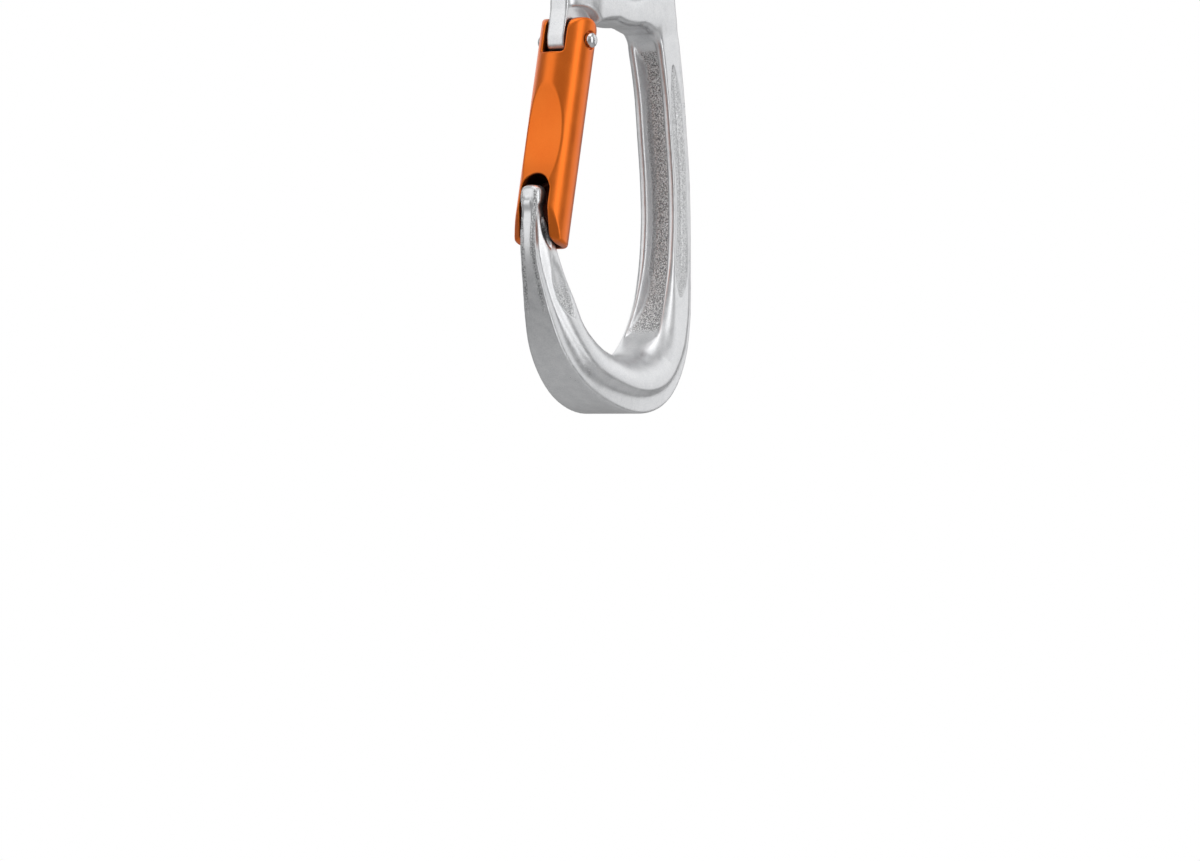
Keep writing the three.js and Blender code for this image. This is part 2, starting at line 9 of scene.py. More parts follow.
import bpy
import numpy as np
from mathutils import Matrix, Vector


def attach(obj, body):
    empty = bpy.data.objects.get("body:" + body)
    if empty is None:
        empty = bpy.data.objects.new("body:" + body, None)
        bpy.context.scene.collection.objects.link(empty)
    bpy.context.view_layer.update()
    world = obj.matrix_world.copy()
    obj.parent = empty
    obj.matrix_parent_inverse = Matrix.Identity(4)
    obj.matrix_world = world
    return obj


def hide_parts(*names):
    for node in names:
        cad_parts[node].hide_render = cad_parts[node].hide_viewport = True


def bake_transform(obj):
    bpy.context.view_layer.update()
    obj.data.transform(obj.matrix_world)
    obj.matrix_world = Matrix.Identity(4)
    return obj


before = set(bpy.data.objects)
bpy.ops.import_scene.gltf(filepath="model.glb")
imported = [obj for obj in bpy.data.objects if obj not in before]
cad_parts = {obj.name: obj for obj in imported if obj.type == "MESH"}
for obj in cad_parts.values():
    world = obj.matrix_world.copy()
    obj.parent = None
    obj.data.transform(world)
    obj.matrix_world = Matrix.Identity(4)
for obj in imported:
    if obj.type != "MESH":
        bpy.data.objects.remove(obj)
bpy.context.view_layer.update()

MM = 0.001

# ---------------------------------------------------------------- main sizes, as in the CAD model

EYE_Z = -202.458  # middle of the rope-end connector's eye
EYE_RADIUS = 10
RING_RADIUS = 17.4  # outside of the metal round the eye
BODY_HALF = 5.5  # half the body's thickness beside the eye
ROPE_RIVET = (-19.3, -21.1)  # from the eye's middle
BOLT_RIVET = (-15.4, 73.4)  # with the bolt-end frame set out basket down
LUG_HALF = 2.2  # half of a hinge lug's thickness
ROPE_POCKET = 7.5  # radius of the pockets for the gate's fork
BOLT_POCKET = 6.9
RIVET_RADIUS = 1.3
RIVET_HOLE = 1.38
RIVET_HEAD = 1.65
HEAD_SUNK = 0.65  # how far a rivet's head starts below the gate's round side
HEAD_RISE = 1.25  # how far it stands out of it
SEAT_RADIUS = 2  # of the recess round each head
SEAT_DEPTH = 0.75
BORE_RADIUS = 2.3  # of the bore for a gate's plunger and spring
BORE_DEPTH = 13  # below the hinge slot's floor


# ---------------------------------------------------------------- distance fields

def smin(a, b, r):
    h = np.maximum(r - np.abs(a - b), 0) / r
    return np.minimum(a, b) - h * h * r / 4


def smax(a, b, r):
    return -smin(-a, -b, r)


def step01(v, lo, hi):
    t = np.clip((v - lo) / (hi - lo), 0, 1)
    return t * t * (3 - 2 * t)


def polygon_field(points, x, z):
    """Signed distance to a closed polygon in the XZ plane, negative inside."""
    p = np.asarray(points, float)
    best = np.full(np.broadcast(x, z).shape, 1e9)
    inside = np.zeros(best.shape, bool)
    for a, b in zip(p, np.roll(p, -1, 0)):
        e = b - a
        if e @ e < 1e-9:
            continue
        wx, wz = x - a[0], z - a[1]
        t = np.clip((wx * e[0] + wz * e[1]) / (e @ e), 0, 1)
        best = np.minimum(best, (wx - t * e[0]) ** 2 + (wz - t * e[1]) ** 2)
        if a[1] != b[1]:
            crosses = (a[1] > z) != (b[1] > z)
            inside ^= crosses & (x < (b[0] - a[0]) * (z - a[1]) / (b[1] - a[1]) + a[0])
    return np.where(inside, -1, 1) * np.sqrt(best)


def smooth_track(rows, spacing=0.4):
    """Points evenly along a smooth curve through rows of (x, z, attributes...)."""
    rows = np.asarray(rows, float)
    gap = np.hypot(*np.diff(rows[:, :2], axis=0).T)
    s = np.concatenate([[0], np.cumsum(gap)])
    slope = np.diff(rows, axis=0) / gap[:, None]
    tangent = np.vstack([slope[:1], slope[1:] * (gap[:-1] / (gap[:-1] + gap[1:]))[:, None]
                         + slope[:-1] * (gap[1:] / (gap[:-1] + gap[1:]))[:, None], slope[-1:]])
    at = np.linspace(0, s[-1], int(s[-1] / spacing) + 1)
    k = np.clip(np.searchsorted(s, at, side="right") - 1, 0, len(gap) - 1)
    h = gap[k][:, None]
    t = ((at - s[k]) / gap[k])[:, None]
    return ((2 * t ** 3 - 3 * t ** 2 + 1) * rows[k] + (t ** 3 - 2 * t ** 2 + t) * h * tangent[k]
            + (3 * t ** 2 - 2 * t ** 3) * rows[k + 1] + (t ** 3 - t ** 2) * h * tangent[k + 1])


def along_track(track, x, z):
    """For each point of an XZ grid: the distance inwards from the track, the attributes there, and how far
    the point lies beyond the track's first and last ends."""
    centre = track[:, :2]
    tangent = np.gradient(centre, axis=0)
    tangent /= np.linalg.norm(tangent, axis=1)[:, None]
    px, pz = np.broadcast_arrays(x, z)
    shape = px.shape
    p = np.stack([px.ravel(), pz.ravel()], 1).astype(np.float32)
    c = centre.astype(np.float32)
    nearest = np.empty(len(p), int)
    for i in range(0, len(p), 8192):
        q = p[i:i + 8192]
        d2 = (q[:, :1] - c[:, 0]) ** 2 + (q[:, 1:] - c[:, 1]) ** 2
        nearest[i:i + 8192] = d2.argmin(1)
    v = p - centre[nearest]
    t = tangent[nearest]
    ahead = (v * t).sum(1)
    inwards = -t[:, 1] * v[:, 0] + t[:, 0] * v[:, 1]
    gap = np.linalg.norm(centre[1] - centre[0])
    where = np.clip(nearest + ahead / gap, 0, len(track) - 1)
    low = np.minimum(where.astype(int), len(track) - 2)
    share = (where - low)[:, None]
    attributes = track[low, 2:] * (1 - share) + track[low + 1, 2:] * share
    before = np.where(nearest == 0, -ahead, -1e3)
    after = np.where(nearest == len(track) - 1, ahead, -1e3)
    back = lambda a: a.reshape(shape)
    return back(inwards), [back(a) for a in attributes.T], back(before), back(after), back(where * gap)


class Volume:
    """A box of samples. x, y and z broadcast against each other."""

    def __init__(self, lo, hi, step):
        self.lo, self.step = np.asarray(lo, float), step
        n = [int(math.ceil((b - a) / step)) + 1 for a, b in zip(lo, hi)]
        axes = [lo[i] + step * np.arange(n[i]) for i in range(3)]
        self.x = axes[0][:, None, None]
        self.y = axes[1][None, :, None]
        self.z = axes[2][None, None, :]

    def sample(self, field, p):
        """Trilinear values of a sampled field at points."""
        g = (p - self.lo) / self.step
        n = np.array(field.shape)
        i = np.clip(g.astype(int), 0, n - 2)
        f = np.clip(g - i, 0, 1)
        flat = field.ravel()
        total = 0
        for corner in range(8):
            o = np.array([corner & 1, corner >> 1 & 1, corner >> 2])
            w = np.prod(np.where(o, f, 1 - f), axis=1)
            k = i + o
            total = total + w * flat[(k[:, 0] * n[1] + k[:, 1]) * n[2] + k[:, 2]]
        return total

    def gradient(self, field, p, reach=1.0):
        h = self.step * reach
        return np.stack([(self.sample(field, p + h * e) - self.sample(field, p - h * e)) / (2 * h)
                         for e in np.eye(3)], 1)

    def skin(self, field):
        """The zero surface as vertices, quads and normals, with one vertex for each crossed cell."""
        n = field.shape
        inside = field < 0
        points, cells, quads = [], [], []
        for axis in range(3):
            lead = [slice(None)] * 3
            trail = [slice(None)] * 3
            lead[axis], trail[axis] = slice(0, -1), slice(1, None)
            lead, trail = tuple(lead), tuple(trail)
            i = np.stack(np.nonzero(inside[lead] != inside[trail]), 1)
            j = i.copy()
            j[:, axis] += 1
            a, b = field[tuple(i.T)], field[tuple(j.T)]
            at = i.astype(float)
            at[:, axis] += a / (a - b)
            u, w = [k for k in range(3) if k != axis]
            around = []
            for du, dw in ((-1, -1), (0, -1), (0, 0), (-1, 0)):
                c = i.copy()
                c[:, u] += du
                c[:, w] += dw
                around.append((c[:, 0] * n[1] + c[:, 1]) * n[2] + c[:, 2])
                points.append(at)
                cells.append(around[-1])
            quad = np.stack(around, 1)
            flip = (a < 0) != (axis == 1)
            quad[~flip] = quad[~flip][:, ::-1]
            quads.append(quad)
        points, cells, quads = np.vstack(points), np.concatenate(cells), np.vstack(quads)
        used, index = np.unique(cells, return_inverse=True)
        count = np.bincount(index)
        verts = np.stack([np.bincount(index, points[:, k]) / count for k in range(3)], 1)
        verts = verts * self.step + self.lo
        quads = np.searchsorted(used, quads)
        for _ in range(3):
            g = self.gradient(field, verts)
            f = self.sample(field, verts)
            move = -(f / np.maximum((g * g).sum(1), 0.05))[:, None] * g
            verts = verts + np.clip(move, -self.step, self.step)
        g = self.gradient(field, verts)
        return verts, quads, g / np.linalg.norm(g, axis=1)[:, None]


# ---------------------------------------------------------------- forged frames

PANEL_DEPTH = 0.6  # of the forged recesses in a bar's sides


def bar_field(track, vol, rounding=0.7):
    """A forged bar along a track. Attributes: depth, thick, face, rib, round, channel, panel, bevel.
    Returns the field, how rough each point is (blast texture, with painted shade on the channel floor
    and in the side panels), how far it lies past the two ends, its place in the section, and how far
    along the bar it is."""
    x, z = vol.x[:, 0, :], vol.z[:, 0, :]
    inwards, attributes, before, after, length = along_track(track, x, z)
    depth, thick, face, rib, rounded, channel, panel, bevel = [a[:, None, :] for a in attributes]
    d = inwards[:, None, :]
    y = np.abs(vol.y)
    inner, half = depth / 2, thick / 2

    # The side panel, which closes to a point at each end of its run.
    closing = inner * (1 - np.clip(2 * panel, 0, 1))
    start = rib - inner + 0.35 * bevel + 1.5 + closing
    finish = inner - 1.2 - closing
    recess = PANEL_DEPTH * step01(d, start, start + 0.4) * (1 - step01(d, finish - 0.4, finish))
    recess = recess * (panel > 0.01)

    # The bar proper, between its sides, with a slanting face from each side to the outer face.
    cap = smax(y - half + recess, rib - inner - d, rounding)
    slant = np.hypot(half - face / 2, bevel)
    sloping = (-(half - face / 2) * (d - rib + inner) + bevel * (y - face / 2)) / slant
    cap = smax(cap, sloping + recess, rounding)

    # The inner side is rounded over as a quarter of an oval.
    crown = np.maximum(rounded * half, 0.4)
    deep = np.minimum(crown, 0.75 * (depth - rib))
    u = np.maximum(d - inner + deep, 0) / deep
    v = np.maximum(y - half + crown, 0) / crown
    size = np.sqrt(u * u + v * v)
    oval = (size - 1) * size / np.sqrt((u / deep) ** 2 + (v / crown) ** 2 + 1e-6)
    cap = np.maximum(cap, np.where(size > 0.4, oval, -0.6 * np.minimum(deep, crown)))
    cap = smax(cap, d - inner, 0.3)

    # The narrower rib on the outer side.
    back = smax(smax(y - (0.5 * face + 0.16 * thick), -inner - d, rounding), d, rounding)
    solid = smin(cap, back, np.clip(1.2 * rib, 0.05, 1.8))

    # The channel in the inner side, with a rough floor. Its mask also paints shade, darker on the floor and
    # in the side panels.
    width = 0.655 * half + 0.42 * (d - inner)
    groove = np.where(channel > 0.1, smax(y - width, inner - channel - d, 0.6), 5)
    solid = smax(solid, -groove, 0.45)
    floor = step01(width - y, 0.0, 0.3) * step01(d, inner - channel - 0.6, inner - channel - 0.3)
    floor = floor * (1 - step01(d, inner - channel + 0.5, inner - channel + 0.9)) * step01(channel, 1.2, 1.8)
    rough = np.maximum(floor, 0.45 * step01(recess, 0.1, 0.3))
    ends = (before[:, None, :], after[:, None, :])
    return solid, rough, ends, (d, y, inner, face, recess), length[:, None, :]


ROPE_BAR = [
    # x, z, depth, thick, face, rib, round, channel, panel, bevel
    (-33.5, -56.8, 3.4, 4.3, 2.8, 0.0, 0.4, 0, 0.0, 0.3),
    (-33.5, -58.2, 3.4, 4.3, 2.5, 0.0, 0.3, 0, 0.1, 0.8),
    (-33.4, -59.8, 4.0, 4.7, 2.2, 0.0, 0.3, 0, 0.5, 1.6),
    (-32.8, -62.6, 5.6, 5.6, 2.0, 0.0, 0.3, 0, 0.5, 3.0),
    (-31.7, -67.2, 7.1, 6.9, 1.9, 0.0, 0.35, 0, 0.3, 3.6),
    (-29.5, -73.2, 8.4, 8.0, 2.7, 0.0, 0.4, 0, 0.45, 3.8),
    (-26.9, -78.9, 9.9, 9.6, 3.8, 0.2, 0.5, 0, 0.4, 4.0),
    (-23.4, -84.7, 11.3, 11.6, 5.0, 0.8, 0.8, 0, 0.0, 4.0),
    (-17.6, -90.0, 12.1, 14.0, 6.4, 1.8, 0.9, 0, 0.0, 2.6),
    (-9.6, -93.8, 12.3, 16.8, 8.2, 3.2, 0.95, 0, 0.0, 1.6),
    (0, -95.25, 12.5, 17.8, 9.4, 3.9, 0.95, 0, 0.0, 1.0),
    (9.0, -92.9, 12.6, 16.8, 8.4, 3.2, 0.95, 0, 0.0, 1.4),
    (15.6, -86.8, 12.4, 14.0, 7.2, 1.8, 0.85, 1.3, 0.0, 2.0),
    (19.2, -79.6, 11.0, 11.4, 6.4, 0.8, 0.6, 2.5, 0.0, 1.6),
    (21.0, -71.6, 9.2, 9.8, 6.0, 0.3, 0.3, 2.9, 0.42, 1.2),
    (21.8, -61.0, 8.0, 9.0, 5.8, 0.0, 0.14, 2.9, 0.45, 1.0),
    (21.5, -50.0, 7.8, 9.0, 5.8, 0.0, 0.12, 3.0, 0.45, 1.0),
    (20.2, -39.0, 7.8, 9.0, 5.8, 0.0, 0.12, 3.0, 0.5, 1.0),
    (18.8, -29.0, 7.9, 9.0, 5.8, 0.0, 0.14, 2.9, 0.4, 1.0),
    (17.5, -23.4, 8.0, 9.2, 6.0, 0.0, 0.2, 2.8, 0.2, 1.0),
    (16.5, -19.6, 8.0, 9.3, 6.2, 0.0, 0.2, 1.2, 0.0, 1.0),
    (15.3, -15.4, 7.6, 9.0, 6.2, 0.0, 0.3, 0.0, 0.0, 1.0),
    (14.0, -11.0, 6.0, 8.4, 6.0, 0.0, 0.3, 0.0, 0.0, 1.0),
]


def rope_frame_surface(step):
    vol = Volume((-37.5, -10.5, -103.5), (28, 10.5, 19.2), step)
    x2, z2 = vol.x[:, 0, :], vol.z[:, 0, :]
    track = smooth_track(ROPE_BAR)
    solid, rough, (before, after), (d, y, inner, face, recess), length = bar_field(track, vol)
    solid = smax(smax(solid, before, 0.6), after, 0.6)

    # The arm's outer band is set off by a fine groove on each side. Its flanks are blasted at both ends.
    # Grooves and flank recesses take a darker speckled colour: blast texture, with painted shade.
    arm = 1 - step01(length, 19, 24)
    groove = np.hypot(d + inner + 0.7 * (1 - arm) - 0.3, y - face / 2 - 0.35) - 0.38
    solid = smax(solid, -groove, 0.15)
    blasted = np.maximum(1 - step01(length, 6, 9), 0.6 * step01(length, 15, 21))
    rough = np.where(length < 40, step01(recess, 0.15, 0.4) * blasted, rough)
    rough = np.maximum(rough, step01(-groove, -0.2, 0.05) * arm)

    # Keylock nose: a domed bulb, wider than the neck under it.
    bulb = rounded_box(vol, (-32.8, 0, -54.9), (2.2, 2.45, 2.5), 1.35)
    dome = np.sqrt((vol.x + 32.8) ** 2 + vol.y ** 2 + (vol.z + 56.4) ** 2) - 4.0
    bulb = smax(bulb, dome, 1.2)
    outer_face = step01(-vol.x, 33.2, 34.6) * (1 - step01(np.abs(vol.y), 0.9, 1.7))
    solid = smin(solid, bulb, 0.3 + 2.2 * outer_face)

    # Body: a ring round the eye, running into an arch and the spine.
    from_eye = np.hypot(x2, z2)
    ring = from_eye - RING_RADIUS
    right = bezier((20.6, -25), (18.9, -9), (17.27, 2.1), 40)
    left = bezier((-16.62, 5.14), (-22.4, -6), (-23, -17), 40)
    underside = [(-22.4, -21), (-13.6, -19.4), (-11.8, -17.6), (-9.4, -16.7), (-5.5, -16.2), (0, -16.2),
                 (3.5, -16.6), (6.6, -17.4), (9.2, -18.8), (11.2, -20.8), (12.6, -23.4), (13.4, -26.5)]
    arch = polygon_field(np.vstack([right, left, underside]), x2, z2)
    outline = np.minimum(ring, arch)[:, None, :]
    narrowing = 0.9 * step01(z2, -2, 14) + 0.6 * step01(x2, 8, 18) + 3.0 * step01(-x2, 13, 23.5)
    flank = np.abs(vol.y) - (BODY_HALF - narrowing)[:, None, :]
    eye = EYE_RADIUS - from_eye[:, None, :]
    body = smax(outline, flank, 1.9)
    body = smax(body, -19 - vol.z, 6.0)
    body = smax(body, eye, 3.0)
    solid = smin(solid, body, (2.2 - 1.4 * step01(x2, 11, 16))[:, None, :])

    # Hinge lug, with the pockets for the gate's fork cut on each side of it.
    rx, rz = ROPE_RIVET
    lug = polygon_field([(rx + a, rz + b) for a, b in [
        (-3.6, 9.8), (-3.7, 6.7), (-4.4, 3.4), (-5.0, 1.0), (-5.0, -1.0), (-4.6, -2.0), (-3.9, -2.6),
        (-2.8, -2.9), (0.7, -3.7), (2.6, -2.9), (4.0, -1.2), (5.2, 1.2), (6.8, 3.0), (9, 9)]], x2, z2)
    lug = smax(lug[:, None, :], np.abs(vol.y) - LUG_HALF, 0.4)
    from_rivet = np.hypot(x2 - rx, z2 - rz)[:, None, :]
    pocket = smax(from_rivet - ROPE_POCKET, LUG_HALF - np.abs(vol.y), 0.5)
    solid = smax(solid, -pocket, 0.6)
    solid = smin(solid, lug, 0.5)
    solid = smax(solid, RIVET_HOLE - from_rivet, 0.2)
    return vol, solid, rough


def rounded_box(vol, centre, half, radius):
    """Distance to a box with rounded edges."""
    q = [np.abs(a - c) - h + radius for a, c, h in zip((vol.x, vol.y, vol.z), centre, half)]
    outside = np.sqrt(sum(np.maximum(a, 0) ** 2 for a in q))
    return outside + np.minimum(np.maximum(np.maximum(q[0], q[1]), q[2]), 0) - radius


BOLT_BAR = [
    # x, z, depth, thick, face, rib, round, channel, panel, bevel
    (-26.6, 17.4, 3.2, 4.2, 3.0, 0, 0.4, 0, 0, 0.5),
    (-26.6, 16.2, 3.3, 4.3, 3.0, 0, 0.4, 0, 0, 0.5),
    (-26.5, 14.4, 3.8, 4.6, 3.1, 0, 0.4, 0, 0, 0.7),
    (-26.0, 11.0, 5.2, 5.2, 3.4, 0, 0.5, 0, 0, 1.0),
    (-24.4, 5.2, 7.0, 7.0, 4.2, 0, 0.6, 0, 0.2, 1.6),
    (-20.6, 0.0, 8.4, 8.8, 5.0, 0.8, 0.8, 0, 0, 1.8),
    (-14.0, -3.6, 9.3, 10.2, 5.8, 1.6, 0.95, 0, 0, 1.4),
    (-5.0, -4.9, 9.6, 11.0, 6.4, 2.2, 0.95, 0, 0, 1.0),
    (5.0, -4.8, 9.6, 11.0, 6.4, 2.2, 0.95, 0, 0, 1.0),
    (13.8, -2.4, 9.3, 10.2, 5.8, 1.6, 0.85, 0, 0, 1.4),
    (20.2, 4.0, 8.6, 9.2, 5.6, 0.6, 0.6, 0.6, 0, 1.4),
    (22.8, 13.5, 7.8, 8.4, 5.4, 0, 0.25, 1.7, 0.35, 1.0),
    (23.0, 26.0, 7.4, 8.2, 5.2, 0, 0.14, 2.3, 0.4, 0.9),
    (22.0, 40.0, 7.2, 8.2, 5.2, 0, 0.12, 2.3, 0.4, 0.9),
    (20.8, 54.0, 7.2, 8.2, 5.2, 0, 0.14, 2.2, 0.4, 0.9),
    (19.3, 66.0, 7.4, 8.4, 5.4, 0, 0.3, 1.2, 0.1, 1.0),
    (16.8, 76.0, 7.8, 8.8, 5.6, 0.6, 0.6, 0, 0, 1.2),
    (11.4, 83.3, 8.2, 9.0, 3.6, 1.0, 0.9, 0, 0, 1.4),
    (4.2, 86.4, 8.4, 9.0, 3.6, 1.2, 0.95, 0, 0, 1.4),
    (-4.2, 86.4, 8.4, 9.0, 3.6, 1.2, 0.95, 0, 0, 1.4),
    (-11.0, 82.7, 8.4, 8.2, 3.6, 0.6, 0.7, 0, 0, 1.2),
    (-13.6, 79.8, 8.2, 6.4, 3.4, 0.2, 0.5, 0, 0, 1.0),
    (-14.9, 76.6, 7.6, 4.8, 3.2, 0, 0.4, 0, 0, 0.6),
]


def bolt_frame_surface(step):
    vol = Volume((-30, -6.5, -11.5), (28.5, 6.5, 92), step)
    x2, z2 = vol.x[:, 0, :], vol.z[:, 0, :]
    solid, rough, (before, after), _, _ = bar_field(smooth_track(BOLT_BAR), vol)
    solid = smax(smax(solid, before, 0.6), after, 0.6)
    bulb = rounded_box(vol, (-26.0, 0, 19.5), (2.05, 2.2, 2.2), 1.4)
    solid = smin(solid, bulb, 0.9)
    rx, rz = BOLT_RIVET
    from_rivet = np.hypot(x2 - rx, z2 - rz)[:, None, :]
    pocket = smax(from_rivet - BOLT_POCKET, LUG_HALF - np.abs(vol.y), 0.5)
    solid = smax(solid, -pocket, 0.6)
    lug = polygon_field([(rx + a, rz + b) for a, b in [
        (-1.4, 8.2), (-3.4, 5), (-4.5, 2.4), (-4.7, 0.5), (-4.5, -1.5), (-3.8, -2.4), (-2.6, -2.8),
        (0.8, -3.5), (2.6, -2.7), (3.8, -1), (4.5, 1.4), (5.0, 5), (2, 8)]], x2, z2)
    lug = smax(lug[:, None, :], np.abs(vol.y) - LUG_HALF, 0.6)
    solid = smin(solid, lug, 0.6)
    solid = smax(solid, RIVET_HOLE - from_rivet, 0.2)
    return vol, solid, rough


# ---------------------------------------------------------------- gates

# Lengths along a gate are from its rivet. slot is the hinge slot's half width and depth, nose the nose
# slot's start and half width, back the [outwards, along] points of its back wall, and scoop the thumb
# flat's middle, half length and depth. facet sets how much the two slanting cuts at the tip take off.
ROPE_GATE = dict(radius=6, tilt=14, heel=4.8, tip=45.5, tip_rounding=7, slot=(2.8, 4.1), nose=(31.2, 3.6),
                 back=[(-1.2, 0), (-1.2, 42), (-4.6, 47)], scoop=(23.5, 12.3, 2), facet=16.87)
BOLT_GATE = dict(radius=5.4, tilt=11.5, heel=4.4, tip=60.5, tip_rounding=6, slot=(2.7, 4.0), nose=(49.2, 3.1),
                 back=[(-3, 0), (-3, 55), (-4.4, 61.5)], scoop=(27, 13.5, 1.7), facet=20.9)


def bezier(a, b, c, n=8):
    """Points along a quadratic curve."""
    t = np.linspace(0, 1, n)[:, None]
    return (1 - t) ** 2 * np.array(a) + 2 * t * (1 - t) * np.array(b) + t ** 2 * np.array(c)


def arc(x, z, r, start, end, n=14):
    """Points along an arc about (x, z)."""
    t = np.linspace(start, end, n)
    return np.stack([x + r * np.cos(t), z + r * np.sin(t)], 1)


def gate_surface(g, step):
    """A gate with its rivet at the origin, tip down and outer side towards -X. The third field is 1 inside
    its slots and bore: a mask for the painted shade that colours them near-black."""
    r, heel, tip, turn = g["radius"], g["heel"], g["tip"], g["tip_rounding"]
    at, half, deep = g["scoop"]
    vol = Volume((-r - 1, -r - 1, -tip - 1), (r + 1, r + 1, heel + 1), step)
    x2, z2 = vol.x[:, 0, :], vol.z[:, 0, :]
    bend = (half ** 2 + deep ** 2) / (2 * deep)
    side = np.vstack([
        bezier((r - 2.2, -tip), (r, -tip), (r + 1, 2.6 - tip)), [(r + 1, heel - 4.2)],
        bezier((r + 1, heel - 5.6), (r - 1.6, heel - 0.5), (-0.6, heel)),
        bezier((-0.6, heel), (1.2 - r, heel - 0.1), (-r, heel - 4.4)),
        [(-r - 1, heel - 5), (-r - 1, half - at + 4), (-r - 1, turn - tip + 2)],
        arc(turn - r, turn - tip, turn, math.pi, 1.5 * math.pi)])
    f = smax(np.hypot(vol.x, vol.y) - r, polygon_field(side, x2, z2)[:, None, :], 0.7)

    # The thumb flat, and the two slanting cuts at the tip.
    thumb = (bend - np.hypot(x2 - (deep - r - bend), z2 + at))[:, None, :]
    f = smax(f, thumb, 0.25)
    f = smax(f, -0.834 * vol.x + 0.47 * np.abs(vol.y) - 0.291 * vol.z - g["facet"], 0.2)

    # The hinge slot, hollowed further behind the outer wall.
    width, floor = g["slot"]
    hinge = smax(np.abs(vol.y) - width, -floor - vol.z + 0 * vol.y, 1.1)
    f = smax(f, -hinge, 0.3)
    hollow = smax(smax(np.abs(vol.y) - width, -floor - 3.5 - vol.z, 1.0), 1.3 - r - vol.x, 0.4)
    f = smax(f, -hollow, 0.3)

    # The slot that takes the nose.
    start, wide = g["nose"]
    outline = np.hypot(vol.y, np.maximum(vol.z + start + wide, 0)) - wide
    wall = np.interp(-vol.z, [a for _, a in g["back"]], [-o for o, _ in g["back"]])
    nose = smax(outline, vol.x - wall, 1.0)
    f = smax(f, -nose, 0.3)

    # The bore, the rivet's hole and the recesses round its heads.
    bore = smax(np.hypot(vol.x, vol.y) - BORE_RADIUS, -floor - BORE_DEPTH - vol.z, 0.3)
    f = smax(f, -bore, 0.25)
    hole = np.hypot(vol.x, vol.z)
    f = smax(f, RIVET_HOLE - hole + 0 * vol.y, 0.2)
    sink = smax(hole - SEAT_RADIUS + 0 * vol.y, r - SEAT_DEPTH - np.abs(vol.y), 0.1)
    f = smax(f, -sink, 0.2)

    cut = np.minimum(np.minimum(hinge, hollow), np.minimum(nose, bore))
    # Painted shade: this mask colours the insides of the slots and bore near-black.
    painted_slot_shade = step01(-cut, -0.45, -0.1) * step01(r - np.hypot(vol.x, vol.y), 0.2, 1.6)
    return vol, f, painted_slot_shade


def gate_place(rivet, tilt, frame_place):
    """Where a gate stands: at its rivet on the frame, leaning by tilt degrees."""
    leaning = Matrix.Rotation(math.radians(tilt), 4, "Y")
    return frame_place @ Matrix.Translation((rivet[0], 0, rivet[1])) @ leaning


def rivet_mesh(radius):
    """Shank and two domed heads, turned about Y."""
    under, top, head = radius - HEAD_SUNK, radius + HEAD_RISE, RIVET_HEAD
    chamfer, rim = 0.15, under + 0.75
    dome = [(head - chamfer, under), (head, under + chamfer), (head, rim)]
    dome += [(head * math.cos(a), rim + (top - rim) * math.sin(a))
             for a in np.linspace(0.12, math.pi / 2, 12)]
    half = [(RIVET_RADIUS, 0.0), (RIVET_RADIUS, under)] + dome
    profile = np.array([(r, -y) for r, y in reversed(half)] + half[1:])
    profile[0, 0] = profile[-1, 0] = 1e-4
    n = 56
    a = np.linspace(0, 2 * math.pi, n, endpoint=False)
    ring = np.stack([np.cos(a), np.zeros(n), np.sin(a)], 1)
    verts = np.vstack([r * ring + (0, y, 0) for r, y in profile])
    faces = tube_faces(len(profile), n)
    return verts, faces


def tube_faces(rows, around, closed=False):
    """Quads of a tube of rings, each with the same number of points."""
    i, j = np.meshgrid(np.arange(rows if closed else rows - 1), np.arange(around), indexing="ij")
    k = (j + 1) % around
    n = (i + 1) % rows
    return np.stack([i * around + j, n * around + j, n * around + k, i * around + k], -1).reshape(-1, 4)


# ---------------------------------------------------------------- meshes

def mesh_object(name, verts, faces, normals=None, material=None, attributes=None):
    """A smooth mesh object from points in metres."""
    mesh = bpy.data.meshes.new(name)
    verts = np.asarray(verts, np.float32)
    faces = np.asarray(faces, np.int32)
    mesh.vertices.add(len(verts))
    mesh.vertices.foreach_set("co", verts.ravel())
    corners = faces.shape[1]
    mesh.loops.add(faces.size)
    mesh.loops.foreach_set("vertex_index", faces.ravel())
    mesh.polygons.add(len(faces))
    mesh.polygons.foreach_set("loop_start", np.arange(0, faces.size, corners, dtype=np.int32))
    mesh.polygons.foreach_set("loop_total", np.full(len(faces), corners, np.int32))
    mesh.update(calc_edges=True)
    mesh.validate()
    mesh.polygons.foreach_set("use_smooth", np.ones(len(mesh.polygons), bool))
    for key, values in (attributes or {}).items():
        mesh.attributes.new(key, "FLOAT", "POINT").data.foreach_set("value", values.astype(np.float32))
    if normals is not None:
        mesh.normals_split_custom_set_from_vertices(normals.astype(np.float32))
    obj = bpy.data.objects.new(name, mesh)
    bpy.context.scene.collection.objects.link(obj)
    if material:
        mesh.materials.append(material)
    return obj


def skin_object(name, vol, field, rough, place, material):
    """The skin of a field as an object. place turns millimetre points into the CAD model's axes."""
    verts, quads, normals = vol.skin(field)
    # The 'rough' mask: blast texture with painted shade on the frames, painted shade alone in the gate slots.
    attributes = {"rough": vol.sample(rough + 0 * field, verts)}
    rotation = np.array(place.to_3x3())
    world = verts @ rotation.T + np.array(place.translation)
    return mesh_object(name, world * MM, quads, normals @ rotation.T, material, attributes)


# ---------------------------------------------------------------- sling

STRAP_WIDTH = 14
STRAP_THICKNESS = 2.2
BOW_PIVOT = -86.7  # the sling swings about here
BOW_RADIUS = 15  # of the bow's inside, seen from the front
UPPER_LOOP = (6.6, 5.7)  # half width and rise of the strap's middle line
LOWER_LOOP = (7.05, 5.0)
LOOP_MIDDLES = (BOW_PIVOT, EYE_Z + 13.7)
MERGE = 20.5  # height in which the two layers come together
WEAVE_RIB = 1.55  # width of a column of the weave
STITCH_MIDDLES = (-112.87, -162.87)
LABEL_MIDDLE = -137.87


